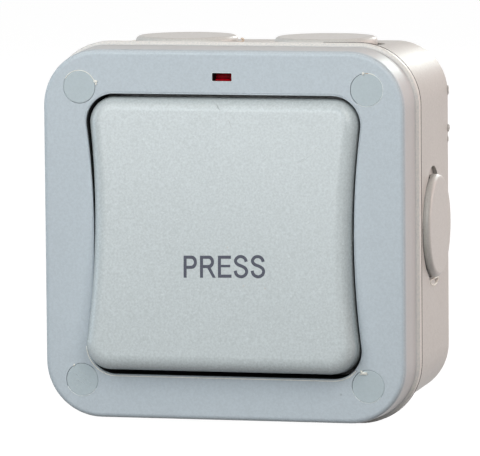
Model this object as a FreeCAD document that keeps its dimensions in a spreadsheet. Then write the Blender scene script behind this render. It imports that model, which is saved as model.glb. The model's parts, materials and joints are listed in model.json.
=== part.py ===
import FreeCAD, Part
import math
import operator
import os
from types import SimpleNamespace

import Sketcher
from FreeCAD import Placement, Rotation, Vector

# Outdoor weatherproof one gang push switch: a moulded back box, a sealed cover, and a wide
# sprung rocker that works a changeover contact through a rubber boot.
# Lengths are millimetres and angles are degrees. +Z is up and the front faces -Y. The origin is
# the middle of the box's back face, which lies on the wall. A depth is counted from the wall
# towards the front, so the plane at depth d is y = -d.

DIMENSIONS = {
    # Back box
    "box_front_width": 89.2,
    "box_taper": 0.7,
    "box_depth": 40.7,
    "box_front_corner": 13.4,
    "box_wall": 2.3,
    "box_floor": 2.5,
    "box_edge_round": 0.8,
    "boss_radius": 4.2,
    "boss_web": 3.0,
    "web_bite": 0.3,
    "fixing_spacing": 50.0,
    "fixing_hole_radius": 2.25,
    "fixing_slot_length": 9.0,
    "fixing_boss_wall": 2.75,
    "fixing_boss_height": 2.0,
    # Cable entries and the plugs that close them
    "entry_depth": 19.6,
    "entry_hole_radius": 10.0,
    "entry_boss_wall": 2.4,
    "entry_boss_length": 7.0,
    "entry_seat_rise": 0.1,
    "entry_pair_gap": 10.0,
    "plug_overlap": 2.6,
    "plug_head": 2.1,
    "plug_edge_round": 1.2,
    "plug_stem_gap": 0.1,
    "plug_stem_length": 7.0,
    "plug_wall": 1.6,
    "plug_floor": 0.5,
    "seat_gap": 0.35,
    "notch_radius": 7.0,
    "notch_overhang": 2.0,
    "notch_depth": 0.8,
    # Cover
    "seam_gap": 0.25,
    "cover_overhang": 1.4,
    "cover_corner_gain": 1.6,
    "cover_depth": 12.75,
    "cover_lip_depth": 2.0,
    "cover_lip_step": 0.84,
    "cover_draft": 2.66,
    "cover_edge_round": 1.2,
    "cover_face_wall": 2.5,
    "cover_side_wall": 2.7,
    "band_above_opening": 11.9,
    "band_beside_waist": 13.7,
    "opening_side_radius": 203.0,
    "opening_corner": 7.0,
    "opening_edge_round": 0.5,
    "well_wall": 1.8,
    "tray_floor": 2.0,
    "tray_lift": 0.75,
    # Gasket between cover and box
    "gasket_width": 1.2,
    "gasket_inset": 1.15,
    "gasket_groove": 1.0,
    "groove_gap": 0.1,
    # Cover screws and their caps
    "screw_inset": 10.4,
    "cap_radius": 3.95,
    "cap_gap": 0.08,
    "cap_thickness": 2.0,
    "cap_edge_round": 0.15,
    "tube_wall": 0.9,
    "cover_screw_head_radius": 3.0,
    "cover_screw_head_height": 2.0,
    "cover_screw_head_gap": 0.3,
    "cover_screw_cap_gap": 0.6,
    "cover_screw_radius": 1.75,
    "cover_screw_length": 21.0,
    "shank_gap": 0.25,
    "pilot_gap": 0.05,
    "pilot_spare": 2.0,
    # Rocker
    "rocker_end_gap": 1.1,
    "rocker_side_gap": 0.55,
    "rocker_corner": 6.2,
    "rocker_proud": 3.7,
    "rocker_skirt_lift": 3.7,
    "rocker_edge_round": 3.5,
    "rocker_wall": 2.0,
    "rocker_face_wall": 2.2,
    "rocker_rib": 1.4,
    "rocker_rib_spacing": 22.0,
    "rocker_rib_inset": 1.3,
    "rocker_pivot_depth": 4.0,
    "rocker_rest_tilt": 5.5,
    "trunnion_radius": 2.0,
    "trunnion_end_gap": 0.2,
    "pivot_clearance": 0.08,
    "prong_radius": 2.4,
    "prong_overlap": 2.0,
    "prong_tip_round": 0.8,
    # Return spring under the rocker
    "spring_drop": 14.0,
    "spring_radius": 3.0,
    "spring_wire": 0.45,
    "spring_turns": 4.0,
    "spring_end_gap": 0.35,
    "spring_pin_radius": 2.2,
    "spring_pin_height": 1.5,
    "spring_seat_radius": 4.4,
    "spring_seat_height": 2.4,
    # Rubber boot
    "floor_hole_radius": 8.5,
    "boot_gap": 0.2,
    "boot_flange_width": 2.5,
    "boot_flange": 0.9,
    "boot_recess": 1.0,
    "boot_wall": 0.9,
    "boot_shoulder": 1.8,
    "boot_cone": 3.4,
    "boot_height": 4.8,
    "boot_collar_gap": 0.8,
    # Neon indicator
    "neon_above_opening": 4.2,
    "neon_window_width": 4.9,
    "neon_window_height": 2.0,
    "neon_window_depth": 3.6,
    "neon_window_corner": 0.25,
    "neon_frame_wall": 1.2,
    "holder_width": 10.4,
    "holder_height": 4.6,
    "holder_rear_gap": 0.25,
    "holder_wall": 0.5,
    "holder_end_wall": 0.8,
    "holder_fit": 0.1,
    "lens_thickness": 2.1,
    "lamp_radius": 1.7,
    "lamp_length": 7.5,
    "lamp_end_round": 1.0,
    "lamp_gap": 0.2,
    "resistor_radius": 1.0,
    "resistor_length": 6.5,
    # Switch housing
    "cavity_width": 16.0,
    "cavity_end_gap": 3.7,
    "cavity_below_contact": 4.2,
    "housing_side_wall": 3.0,
    "housing_end_wall": 1.4,
    "housing_web": 2.0,
    "terminal_recess": 0.3,
    "flange_thickness": 2.0,
    "flange_corner": 3.0,
    "flange_margin": 5.0,
    "housing_screw_beside": 7.0,
    "housing_screw_z": 16.0,
    "housing_screw_radius": 1.25,
    "housing_screw_length": 5.5,
    "housing_screw_head_radius": 2.5,
    "housing_screw_head_height": 1.6,
    "tray_boss_radius": 3.0,
    "tray_boss_height": 2.5,
    # Dolly, plunger and moving contact
    "dolly_pivot_drop": 7.7,
    "dolly_rest_tilt": 6.0,
    "dolly_hub_radius": 3.0,
    "dolly_side_gap": 0.3,
    "dolly_pin_radius": 1.5,
    "dolly_pin_length": 2.0,
    "fork_width": 8.0,
    "fork_cheek": 1.75,
    "fork_reach": 8.5,
    "fork_slot_gap": 0.45,
    "fork_slot_depth": 5.0,
    "leg_radius": 2.5,
    "plunger_radius": 1.5,
    "plunger_gap": 0.1,
    "plunger_nose_gap": 0.3,
    "plunger_nose_reach": 1.2,
    "plunger_length": 4.0,
    "plunger_nose_round": 1.2,
    "plunger_bore_beyond": 2.5,
    "plunger_spring_radius": 1.15,
    "plunger_spring_wire": 0.25,
    "plunger_spring_turns": 4.0,
    "contact_pivot_drop": 8.8,
    "contact_rest_tilt": 4.0,
    "contact_thickness": 0.8,
    "contact_width": 5.0,
    "contact_notch": 0.25,
    "tip_radius": 1.1,
    "tip_height": 0.7,
    "contact_gap": 0.1,
    # Terminals
    "terminal_pitch": 12.5,
    "terminal_width": 11.0,
    "terminal_height": 8.0,
    "terminal_depth": 6.7,
    "terminal_gap": 0.1,
    "wire_hole_radius": 1.9,
    "wire_hole_drop": 3.5,
    "post_width": 3.0,
    "post_thickness": 1.4,
    "terminal_screw_radius": 1.4,
    "terminal_screw_length": 2.4,
    "terminal_screw_head_radius": 2.4,
    "terminal_screw_head_height": 1.4,
    "thread_gap": 0.05,
    # Earth terminal
    "earth_drop": 27.0,
    "earth_size": 8.0,
    "earth_height": 7.0,
}

# Small amount by which one moulded feature runs into the next, so that they join as one solid.
JOIN = 0.5
CUT_CLEAR = 1.0
SAME_PLACE = 1e-3
HALF_DIAGONAL = math.sqrt(0.5)
# Shares of a screw head's radius and height that its cross recess takes
RECESS_REACH = 0.6
RECESS_HALF_WIDTH = 0.14
RECESS_DEPTH = 0.6

OPERATIONS = {"+": operator.add, "-": operator.sub, "*": operator.mul, "/": operator.truediv}

doc = FreeCAD.newDocument("WeatherproofSwitch")
subparts = []


class Size:
    """A number together with the spreadsheet formula that gives it."""

    def __init__(self, number, formula):
        self.number = number
        self.formula = formula

    def __add__(self, other):
        return combine(self, "+", other)

    def __sub__(self, other):
        return combine(self, "-", other)

    def __mul__(self, other):
        return combine(self, "*", other)

    def __truediv__(self, other):
        return combine(self, "/", other)

    def __neg__(self):
        return Size(-self.number, f"(-1 * {self.formula})")


def as_size(value):
    if isinstance(value, Size):
        return value
    return Size(float(value), f"{value:.12g}")


def combine(first, sign, second):
    first = as_size(first)
    second = as_size(second)
    number = OPERATIONS[sign](first.number, second.number)
    return Size(number, f"({first.formula} {sign} {second.formula})")


def turned(length, angle):
    """How far a length reaches along and across its old direction after a turn."""
    lean = math.radians(angle.number)
    along = Size(length.number * math.cos(lean), f"({length.formula} * cos({angle.formula} * 1 deg))")
    across = Size(length.number * math.sin(lean), f"({length.formula} * sin({angle.formula} * 1 deg))")
    return along, across


def slope(rise, run):
    """The angle of a drafted wall that moves sideways by rise over run."""
    number = math.degrees(math.atan(rise.number / run.number))
    return Size(number, f"atan({rise.formula} / {run.formula})")


def fill_sheet():
    sheet = doc.addObject("Spreadsheet::Sheet", "Dimensions")
    sizes = {}
    for row, (name, number) in enumerate(DIMENSIONS.items(), start=1):
        sheet.set(f"A{row}", name)
        sheet.set(f"B{row}", str(number))
        sheet.setAlias(f"B{row}", name)
        sizes[name] = Size(number, f"Dimensions.{name}")
    doc.recompute()
    return SimpleNamespace(**sizes)


D = fill_sheet()

# Depths and half widths that several pieces share
COVER_REAR = D.box_depth + D.seam_gap
FACE = COVER_REAR + D.cover_depth
TRAY_REAR = COVER_REAR + D.tray_lift
TRAY_FRONT = TRAY_REAR + D.tray_floor
WELL_DEPTH = FACE - TRAY_FRONT
ROCKER_PIVOT = FACE - D.rocker_pivot_depth
DOLLY_PIVOT = TRAY_REAR - D.dolly_pivot_drop
CONTACT_PIVOT = DOLLY_PIVOT - D.contact_pivot_drop
CAVITY_FLOOR = CONTACT_PIVOT - D.cavity_below_contact
POCKET_FLOOR = CAVITY_FLOOR - D.housing_web
TERMINAL_REAR = POCKET_FLOOR - D.terminal_depth
HOUSING_REAR = TERMINAL_REAR - D.terminal_recess
WIRE_HOLE_AT = POCKET_FLOOR - D.wire_hole_drop
BOX_FRONT_HALF = D.box_front_width / 2
BOX_BACK_HALF = BOX_FRONT_HALF - D.box_taper
COVER_HALF = BOX_FRONT_HALF + D.cover_overhang
COVER_CORNER = D.box_front_corner + D.cover_corner_gain
PLUG_RADIUS = D.entry_hole_radius + D.plug_overlap
ENTRY_SEAT = BOX_BACK_HALF + D.entry_seat_rise
SCREW_AT = COVER_HALF - D.screw_inset
OPENING_HALF_WAIST = COVER_HALF - D.band_beside_waist
OPENING_HALF_HEIGHT = COVER_HALF - D.band_above_opening
NEON_HEIGHT = OPENING_HALF_HEIGHT + D.neon_above_opening
CAP_RECESS_RADIUS = D.cap_radius + D.cap_gap
CAP_SEAT = FACE - D.cap_thickness
COVER_SCREW_SEAT = CAP_SEAT - D.cover_screw_cap_gap - D.cover_screw_head_height
GASKET_OUTER = BOX_FRONT_HALF - D.gasket_inset + D.gasket_width / 2
GASKET_CORNER = D.box_front_corner - D.gasket_inset + D.gasket_width / 2
TIP_AT = D.terminal_pitch - D.terminal_height / 2 + D.post_thickness / 2
CONTACT_HALF = TIP_AT + D.tip_radius
HOUSING_HALF_WIDTH = D.cavity_width / 2 + D.housing_side_wall
HOUSING_SCREW_X = HOUSING_HALF_WIDTH + D.housing_screw_beside
HALF_SLOT = D.prong_radius + D.fork_slot_gap
PRONG_REACH = ROCKER_PIVOT - DOLLY_PIVOT - D.fork_reach + D.prong_overlap
ROCKER_INSIDE = D.rocker_pivot_depth + D.rocker_proud - D.rocker_face_wall
PLUNGER_TIP = D.contact_pivot_drop - D.contact_thickness - D.plunger_nose_gap
LEG_LENGTH = PLUNGER_TIP - D.plunger_nose_reach
SIGNS = (1, -1)


def bind(item, path, value):
    item.setExpression(path, as_size(value).formula)


def new_body(label):
    body = doc.addObject("PartDesign::Body", label)
    body.Label = label
    body.AllowCompound = True
    subparts.append(body)
    return body


def origin_plane(body, role):
    return [item for item in body.Origin.OriginFeatures if item.Role == role][0]


def new_sketch(body, name, offset=0, plane="XZ_Plane"):
    """A sketch on an origin plane. On XZ_Plane its axes are X and Z and its offset is a depth."""
    sketch = body.newObject("Sketcher::SketchObject", name)
    sketch.AttachmentSupport = [(origin_plane(body, plane), "")]
    sketch.MapMode = "FlatFace"
    bind(sketch, ".AttachmentOffset.Base.z", offset)
    return sketch


def constrain(sketch, kind, value, *where):
    number = sketch.addConstraint(Sketcher.Constraint(kind, *where, value.number))
    bind(sketch, f"Constraints[{number}]", value)


def fix_point(sketch, geometry, point, across, up):
    constrain(sketch, "DistanceX", across, -1, 1, geometry, point)
    constrain(sketch, "DistanceY", up, -1, 1, geometry, point)


def polygon(sketch, points):
    corners = [(as_size(across), as_size(up)) for across, up in points]
    first = len(sketch.Geometry)
    count = len(corners)
    for index, start in enumerate(corners):
        end = corners[(index + 1) % count]
        ends = [Vector(across.number, up.number, 0) for across, up in (start, end)]
        sketch.addGeometry(Part.LineSegment(*ends), False)
    for index, corner in enumerate(corners):
        line = first + index
        following = first + (index + 1) % count
        sketch.addConstraint(Sketcher.Constraint("Coincident", line, 2, following, 1))
        fix_point(sketch, line, 1, *corner)


def rectangle(sketch, centre, half_width, half_height):
    across, up = as_size(centre[0]), as_size(centre[1])
    polygon(sketch, [
        (across - half_width, up - half_height),
        (across + half_width, up - half_height),
        (across + half_width, up + half_height),
        (across - half_width, up + half_height),
    ])


def circle(sketch, centre, radius):
    across, up = as_size(centre[0]), as_size(centre[1])
    shape = Part.Circle(Vector(across.number, up.number, 0), Vector(0, 0, 1), radius.number)
    geometry = sketch.addGeometry(shape, False)
    fix_point(sketch, geometry, 3, across, up)
    constrain(sketch, "Radius", radius, geometry)


def level_slot(sketch, centre, radius, length):
    """A slot with round ends, as long as stated from end to end."""
    across, up = as_size(centre[0]), as_size(centre[1])
    reach = length / 2 - radius
    quarter = math.pi / 2
    left, right = across - reach, across + reach
    low, high = up - radius, up + radius
    first = add_arc(sketch, left.number, up.number, radius.number, quarter, 3 * quarter)
    bottom = add_line(sketch, (left.number, low.number), (right.number, low.number))
    last = add_arc(sketch, right.number, up.number, radius.number, -quarter, quarter)
    top = add_line(sketch, (right.number, high.number), (left.number, high.number))
    touch(sketch, first, 2, bottom, 1)
    touch(sketch, bottom, 2, last, 1)
    touch(sketch, last, 2, top, 1)
    touch(sketch, top, 2, first, 1)
    constrain(sketch, "Radius", radius, first)
    fix_point(sketch, first, 3, left, up)
    fix_point(sketch, last, 3, right, up)


def cross(sketch, centre, half_length, half_width):
    """The outline of a cross recess."""
    across, up = as_size(centre[0]), as_size(centre[1])
    quarter = [(half_length, half_width), (half_width, half_width), (half_width, half_length)]
    points = [(across + a, up + b) for a, b in quarter]
    points += [(across - a, up + b) for a, b in reversed(quarter)]
    points += [(across - a, up - b) for a, b in quarter]
    points += [(across + a, up - b) for a, b in reversed(quarter)]
    polygon(sketch, points)


def add_arc(sketch, across, up, radius, start, end):
    ring = Part.Circle(Vector(across, up, 0), Vector(0, 0, 1), radius)
    return sketch.addGeometry(Part.ArcOfCircle(ring, start, end), False)


def add_line(sketch, start, end):
    return sketch.addGeometry(Part.LineSegment(Vector(*start, 0), Vector(*end, 0)), False)


def touch(sketch, first, first_end, second, second_end):
    sketch.addConstraint(Sketcher.Constraint("Tangent", first, first_end, second, second_end))


def rounded_square(sketch, half, corner):
    """A square with round corners, centred on the sketch's origin."""
    reach, radius = half.number, corner.number
    inner = reach - radius
    arcs = []
    sides = []
    for turn in range(4):
        angle = turn * math.pi / 2
        rotate = Rotation(Vector(0, 0, 1), math.degrees(angle))
        centre = rotate.multVec(Vector(inner, inner, 0))
        start = rotate.multVec(Vector(inner, reach, 0))
        end = rotate.multVec(Vector(-inner, reach, 0))
        arcs.append(add_arc(sketch, centre.x, centre.y, radius, angle, angle + math.pi / 2))
        sides.append(add_line(sketch, (start.x, start.y), (end.x, end.y)))
    for index in range(4):
        touch(sketch, arcs[index], 2, sides[index], 1)
        touch(sketch, sides[index], 2, arcs[(index + 1) % 4], 1)
    for index in (0, 2):
        sketch.addConstraint(Sketcher.Constraint("Horizontal", sides[index]))
        sketch.addConstraint(Sketcher.Constraint("Vertical", sides[index + 1]))
    for other in arcs[1:]:
        sketch.addConstraint(Sketcher.Constraint("Equal", arcs[0], other))
    constrain(sketch, "Radius", corner, arcs[0])
    constrain(sketch, "DistanceY", half, -1, 1, sides[0], 1)
    constrain(sketch, "DistanceX", -half, -1, 1, sides[1], 1)
    constrain(sketch, "DistanceY", -half, -1, 1, sides[2], 1)
    constrain(sketch, "DistanceX", half, -1, 1, sides[3], 1)


def waisted_outline(sketch, half_waist, half_height, side_radius, corner):
    """An upright outline with flat ends, round corners and long sides that curve inwards."""
    centre = half_waist + side_radius
    radius = corner.number
    corner_up = half_height.number - radius
    reach = side_radius.number + radius
    corner_across = centre.number - math.sqrt(reach ** 2 - corner_up ** 2)
    lean = math.asin(corner_up / reach)
    top = half_height.number
    quarter = math.pi / 2
    right = add_arc(sketch, centre.number, 0, side_radius.number, math.pi - lean, math.pi + lean)
    left = add_arc(sketch, -centre.number, 0, side_radius.number, -lean, lean)
    upper = add_line(sketch, (corner_across, top), (-corner_across, top))
    lower = add_line(sketch, (-corner_across, -top), (corner_across, -top))
    upper_right = add_arc(sketch, corner_across, corner_up, radius, -lean, quarter)
    upper_left = add_arc(sketch, -corner_across, corner_up, radius, quarter, math.pi + lean)
    lower_left = add_arc(sketch, -corner_across, -corner_up, radius, math.pi - lean, 3 * quarter)
    lower_right = add_arc(sketch, corner_across, -corner_up, radius, -quarter, lean)
    touch(sketch, right, 1, upper_right, 1)
    touch(sketch, upper_right, 2, upper, 1)
    touch(sketch, upper, 2, upper_left, 1)
    touch(sketch, upper_left, 2, left, 2)
    touch(sketch, left, 1, lower_left, 1)
    touch(sketch, lower_left, 2, lower, 1)
    touch(sketch, lower, 2, lower_right, 1)
    touch(sketch, lower_right, 2, right, 2)
    for other in (upper_left, lower_left, lower_right):
        sketch.addConstraint(Sketcher.Constraint("Equal", upper_right, other))
    sketch.addConstraint(Sketcher.Constraint("Equal", right, left))
    sketch.addConstraint(Sketcher.Constraint("Horizontal", upper))
    sketch.addConstraint(Sketcher.Constraint("Horizontal", lower))
    constrain(sketch, "Radius", corner, upper_right)
    constrain(sketch, "Radius", side_radius, right)
    fix_point(sketch, right, 3, centre, as_size(0))
    fix_point(sketch, left, 3, -centre, as_size(0))
    constrain(sketch, "DistanceY", half_height, -1, 1, upper, 1)
    constrain(sketch, "DistanceY", -half_height, -1, 1, lower, 1)


def extrude(kind, body, name, profile, length, taper, reverse, symmetric):
    feature = body.newObject(kind, name)
    feature.Profile = profile
    feature.SideType = "Symmetric" if symmetric else "One side"
    feature.Reversed = reverse
    bind(feature, "Length", length)
    if taper is not None:
        bind(feature, "TaperAngle", taper)
    return feature


def pad(body, name, profile, length, taper=None, reverse=False, symmetric=False):
    """Adds material from the sketch along its normal, which points forwards from XZ_Plane."""
    return extrude("PartDesign::Pad", body, name, profile, length, taper, reverse, symmetric)


def pocket(body, name, profile, length, taper=None, reverse=False, symmetric=False):
    """Cuts from the sketch against its normal, and makes sure that it cuts something."""
    doc.recompute()
    before = body.Shape.Volume
    feature = extrude("PartDesign::Pocket", body, name, profile, length, taper, reverse, symmetric)
    doc.recompute()
    if not body.Shape.Volume < before:
        raise ValueError(f"{body.Label}: {name} cuts nothing")
    return feature


def revolve(body, name, profile):
    """Turns the sketch round its own upright axis."""
    feature = body.newObject("PartDesign::Revolution", name)
    feature.Profile = profile
    feature.ReferenceAxis = (profile, ["V_Axis"])
    feature.Angle = 360
    return feature


def edge_points(edge):
    first, last = edge.ParameterRange
    return [edge.valueAt(first), edge.valueAt((first + last) / 2), edge.valueAt(last)]


def in_plane(edge, axis, place):
    return all(abs(getattr(point, axis) - place) < SAME_PLACE for point in edge_points(edge))


def edge_runs(edge, axis):
    """Whether an edge is straight along an axis."""
    points = edge_points(edge)
    length = abs(getattr(points[-1], axis) - getattr(points[0], axis))
    return abs(length - edge.Length) < SAME_PLACE


def fillet(body, name, radius, test):
    doc.recompute()
    base = body.Tip
    edges = [f"Edge{number}" for number, edge in enumerate(base.Shape.Edges, start=1) if test(edge)]
    feature = body.newObject("PartDesign::Fillet", name)
    feature.Base = (base, edges)
    bind(feature, "Radius", radius)
    return feature


def place(body, depth=0, across=0, up=0, axis=Vector(1, 0, 0), angle=0):
    """Moves a body that was drawn round its own origin to its place in the switch."""
    body.Placement = Placement(Vector(), Rotation(axis, 1))
    bind(body, ".Placement.Base.x", across)
    bind(body, ".Placement.Base.y", -as_size(depth))
    bind(body, ".Placement.Base.z", up)
    bind(body, ".Placement.Rotation.Angle", angle)


def corner_points(across, up):
    return [(across * side, up * level) for level in SIGNS for side in SIGNS]


def circles(sketch, centres, radius):
    for centre in centres:
        circle(sketch, centre, radius)


def screws(label, centres, seat, head, shank, from_front):
    """Equal screws. The underside of each head is at the seat's depth."""
    head_radius, head_height = head
    shank_radius, shank_length = shank
    body = new_body(label)
    shanks = new_sketch(body, "shanks", seat)
    circles(shanks, centres, shank_radius)
    pad(body, "shank", shanks, shank_length, reverse=from_front)
    heads = new_sketch(body, "heads", seat)
    circles(heads, centres, head_radius)
    pad(body, "head", heads, head_height, reverse=not from_front)
    top = seat + head_height if from_front else seat - head_height
    recesses = new_sketch(body, "recesses", top)
    for centre in centres:
        cross(recesses, centre, head_radius * RECESS_REACH, head_radius * RECESS_HALF_WIDTH)
    pocket(body, "recess", recesses, head_height * RECESS_DEPTH, reverse=not from_front)
    return body


# Back box

ENTRY_SIDES = {
    # side: plane of its sketches, outward sign, rotation of its plugs about +Y
    "top": ("XY_Plane", 1, 0),
    "bottom": ("XY_Plane", -1, 180),
    "right": ("YZ_Plane", 1, 90),
    "left": ("YZ_Plane", -1, -90),
}


def entry_centres(side):
    """Centres of a side's cable entries in the sketches of that side."""
    if side in ("top", "bottom"):
        offset = PLUG_RADIUS + D.entry_pair_gap / 2
        return [(offset * sign, -D.entry_depth) for sign in (-1, 1)]
    return [(-D.entry_depth, as_size(0))]


def cut_entries(body, side):
    plane, sign, _ = ENTRY_SIDES[side]
    centres = entry_centres(side)
    outward = sign > 0
    boss_foot = ENTRY_SEAT - D.entry_boss_length
    boss = new_sketch(body, f"{side}_entry_boss", boss_foot * sign, plane)
    circles(boss, centres, D.entry_hole_radius + D.entry_boss_wall)
    pad(body, f"{side}_boss", boss, D.entry_boss_length - D.box_wall / 2, reverse=not outward)
    seat = new_sketch(body, f"{side}_entry_seat", ENTRY_SEAT * sign, plane)
    circles(seat, centres, PLUG_RADIUS + D.seat_gap)
    pocket(body, f"{side}_seat", seat, D.box_wall, reverse=outward)
    hole = new_sketch(body, f"{side}_entry_hole", (ENTRY_SEAT + CUT_CLEAR) * sign, plane)
    circles(hole, centres, D.entry_hole_radius)
    pocket(body, f"{side}_hole", hole, D.entry_boss_length + CUT_CLEAR * 2, reverse=not outward)
    notch = new_sketch(body, f"{side}_entry_notch", (ENTRY_SEAT - D.notch_depth) * sign, plane)
    offset = PLUG_RADIUS + D.notch_overhang - D.notch_radius
    for across, up in centres:
        for end in SIGNS:
            if plane == "XY_Plane":
                circle(notch, (across + offset * end, up), D.notch_radius)
            else:
                circle(notch, (across, up + offset * end), D.notch_radius)
    pocket(body, f"{side}_notch", notch, D.box_wall, reverse=outward)


def back_box():
    body = new_body("back_box")
    draft = slope(D.box_taper, D.box_depth)
    outline = new_sketch(body, "outline")
    rounded_square(outline, BOX_BACK_HALF, D.box_front_corner - D.box_taper)
    pad(body, "shell", outline, D.box_depth, taper=draft)
    fillet(body, "back_edge", D.box_edge_round, lambda edge: in_plane(edge, "y", 0))
    hollow = new_sketch(body, "hollow", D.box_depth)
    rounded_square(hollow, BOX_FRONT_HALF - D.box_wall, D.box_front_corner - D.box_wall)
    pocket(body, "inside", hollow, D.box_depth - D.box_floor, taper=-draft)
    bosses = new_sketch(body, "bosses", D.box_floor - JOIN)
    circles(bosses, corner_points(SCREW_AT, SCREW_AT), D.boss_radius)
    pad(body, "screw_bosses", bosses, D.box_depth - D.box_floor + JOIN)
    webs = new_sketch(body, "webs", D.box_floor - JOIN)
    spread = D.boss_web / 2 * HALF_DIAGONAL
    corner_reach = D.box_front_corner - D.box_wall + D.web_bite
    wall_at = BOX_FRONT_HALF - D.box_front_corner + corner_reach * HALF_DIAGONAL
    for side, level in ((1, 1), (-1, 1), (-1, -1), (1, -1)):
        polygon(webs, [
            ((SCREW_AT - spread) * side, (SCREW_AT + spread) * level),
            ((SCREW_AT + spread) * side, (SCREW_AT - spread) * level),
            ((wall_at + spread) * side, (wall_at - spread) * level),
            ((wall_at - spread) * side, (wall_at + spread) * level),
        ])
    pad(body, "boss_webs", webs, D.box_depth - D.box_floor + JOIN)
    for side in ENTRY_SIDES:
        cut_entries(body, side)
    fixing = corner_points(D.fixing_spacing / 2, D.fixing_spacing / 2)
    boss_radius = D.fixing_hole_radius + D.fixing_boss_wall
    raised = new_sketch(body, "fixing_bosses", D.box_floor - JOIN)
    holes = new_sketch(body, "fixing_holes", D.box_floor + D.fixing_boss_height + CUT_CLEAR)
    for across, up in fixing:
        if up.number > 0:
            circle(raised, (across, up), boss_radius)
            circle(holes, (across, up), D.fixing_hole_radius)
        else:
            slot_boss = D.fixing_slot_length + D.fixing_boss_wall * 2
            level_slot(raised, (across, up), boss_radius, slot_boss)
            level_slot(holes, (across, up), D.fixing_hole_radius, D.fixing_slot_length)
    pad(body, "fixing_boss", raised, D.fixing_boss_height + JOIN)
    pocket(body, "fixing_hole", holes, D.box_floor + D.fixing_boss_height + CUT_CLEAR * 2)
    pilots = new_sketch(body, "pilots", D.box_depth)
    circles(pilots, corner_points(SCREW_AT, SCREW_AT), D.cover_screw_radius + D.pilot_gap)
    screw_tip = COVER_SCREW_SEAT - D.cover_screw_length
    pocket(body, "pilot", pilots, D.box_depth - screw_tip + D.pilot_spare)
    earth_boss = new_sketch(body, "earth_boss", D.box_floor - JOIN)
    rectangle(earth_boss, (as_size(0), -D.earth_drop), D.earth_size / 2, D.earth_size / 2)
    pad(body, "earth_seat", earth_boss, D.fixing_boss_height + JOIN)
    return body


def box_gasket():
    body = new_body("box_gasket")
    ring = new_sketch(body, "ring", D.box_depth)
    rounded_square(ring, GASKET_OUTER, GASKET_CORNER)
    rounded_square(ring, GASKET_OUTER - D.gasket_width, GASKET_CORNER - D.gasket_width)
    pad(body, "gasket", ring, D.seam_gap + D.gasket_groove)
    return body


def entry_plug(label, side, centre):
    """A push-in plug, turned about the axis of its entry."""
    plane, sign, angle = ENTRY_SIDES[side]
    body = new_body(label)
    stem = D.entry_hole_radius - D.plug_stem_gap
    profile = new_sketch(body, "profile")
    polygon(profile, [
        (0, D.plug_head),
        (PLUG_RADIUS, D.plug_head),
        (PLUG_RADIUS, 0),
        (stem, 0),
        (stem, -D.plug_stem_length),
        (stem - D.plug_wall, -D.plug_stem_length),
        (stem - D.plug_wall, -D.plug_floor),
        (0, -D.plug_floor),
    ])
    revolve(body, "plug", profile)
    fillet(body, "rim", D.plug_edge_round, lambda edge: in_plane(edge, "z", D.plug_head.number))
    seat = ENTRY_SEAT * sign
    if plane == "XY_Plane":
        place(body, D.entry_depth, centre[0], seat, Vector(0, 1, 0), angle)
    else:
        place(body, D.entry_depth, seat, centre[1], Vector(0, 1, 0), angle)
    return body


def entry_plugs():
    for side in ("top", "bottom"):
        for name, centre in zip(("left", "right"), entry_centres(side)):
            entry_plug(f"entry_plug_{side}_{name}", side, centre)
    for side in ("right", "left"):
        entry_plug(f"entry_plug_{side}", side, entry_centres(side)[0])


# Cover

def cover_shell(body):
    side_half = COVER_HALF - D.cover_lip_step
    side_corner = COVER_CORNER - D.cover_lip_step
    lip = new_sketch(body, "lip", COVER_REAR)
    rounded_square(lip, COVER_HALF, COVER_CORNER)
    pad(body, "lip_band", lip, D.cover_lip_depth)
    flare = new_sketch(body, "flare", COVER_REAR + D.cover_lip_depth)
    rounded_square(flare, COVER_HALF, COVER_CORNER)
    pad(body, "lip_flare", flare, D.cover_lip_step, taper=-slope(D.cover_lip_step, D.cover_lip_step))
    side_foot = COVER_REAR + D.cover_lip_depth + D.cover_lip_step
    side = new_sketch(body, "side", side_foot)
    rounded_square(side, side_half, side_corner)
    pad(body, "side_wall", side, FACE - side_foot, taper=-D.cover_draft)
    front = -FACE.number
    fillet(body, "front_edge", D.cover_edge_round, lambda edge: in_plane(edge, "y", front))
    hollow = new_sketch(body, "hollow", COVER_REAR)
    rounded_square(hollow, side_half - D.cover_side_wall, side_corner - D.cover_side_wall)
    pocket(body, "inside", hollow, D.cover_depth - D.cover_face_wall, reverse=True)
    groove = new_sketch(body, "groove", COVER_REAR)
    outer = GASKET_OUTER + D.groove_gap
    inner = GASKET_OUTER - D.gasket_width - D.groove_gap
    rounded_square(groove, outer, GASKET_CORNER + D.groove_gap)
    rounded_square(groove, inner, GASKET_CORNER - D.gasket_width - D.groove_gap)
    pocket(body, "gasket_groove", groove, D.gasket_groove, reverse=True)


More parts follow.
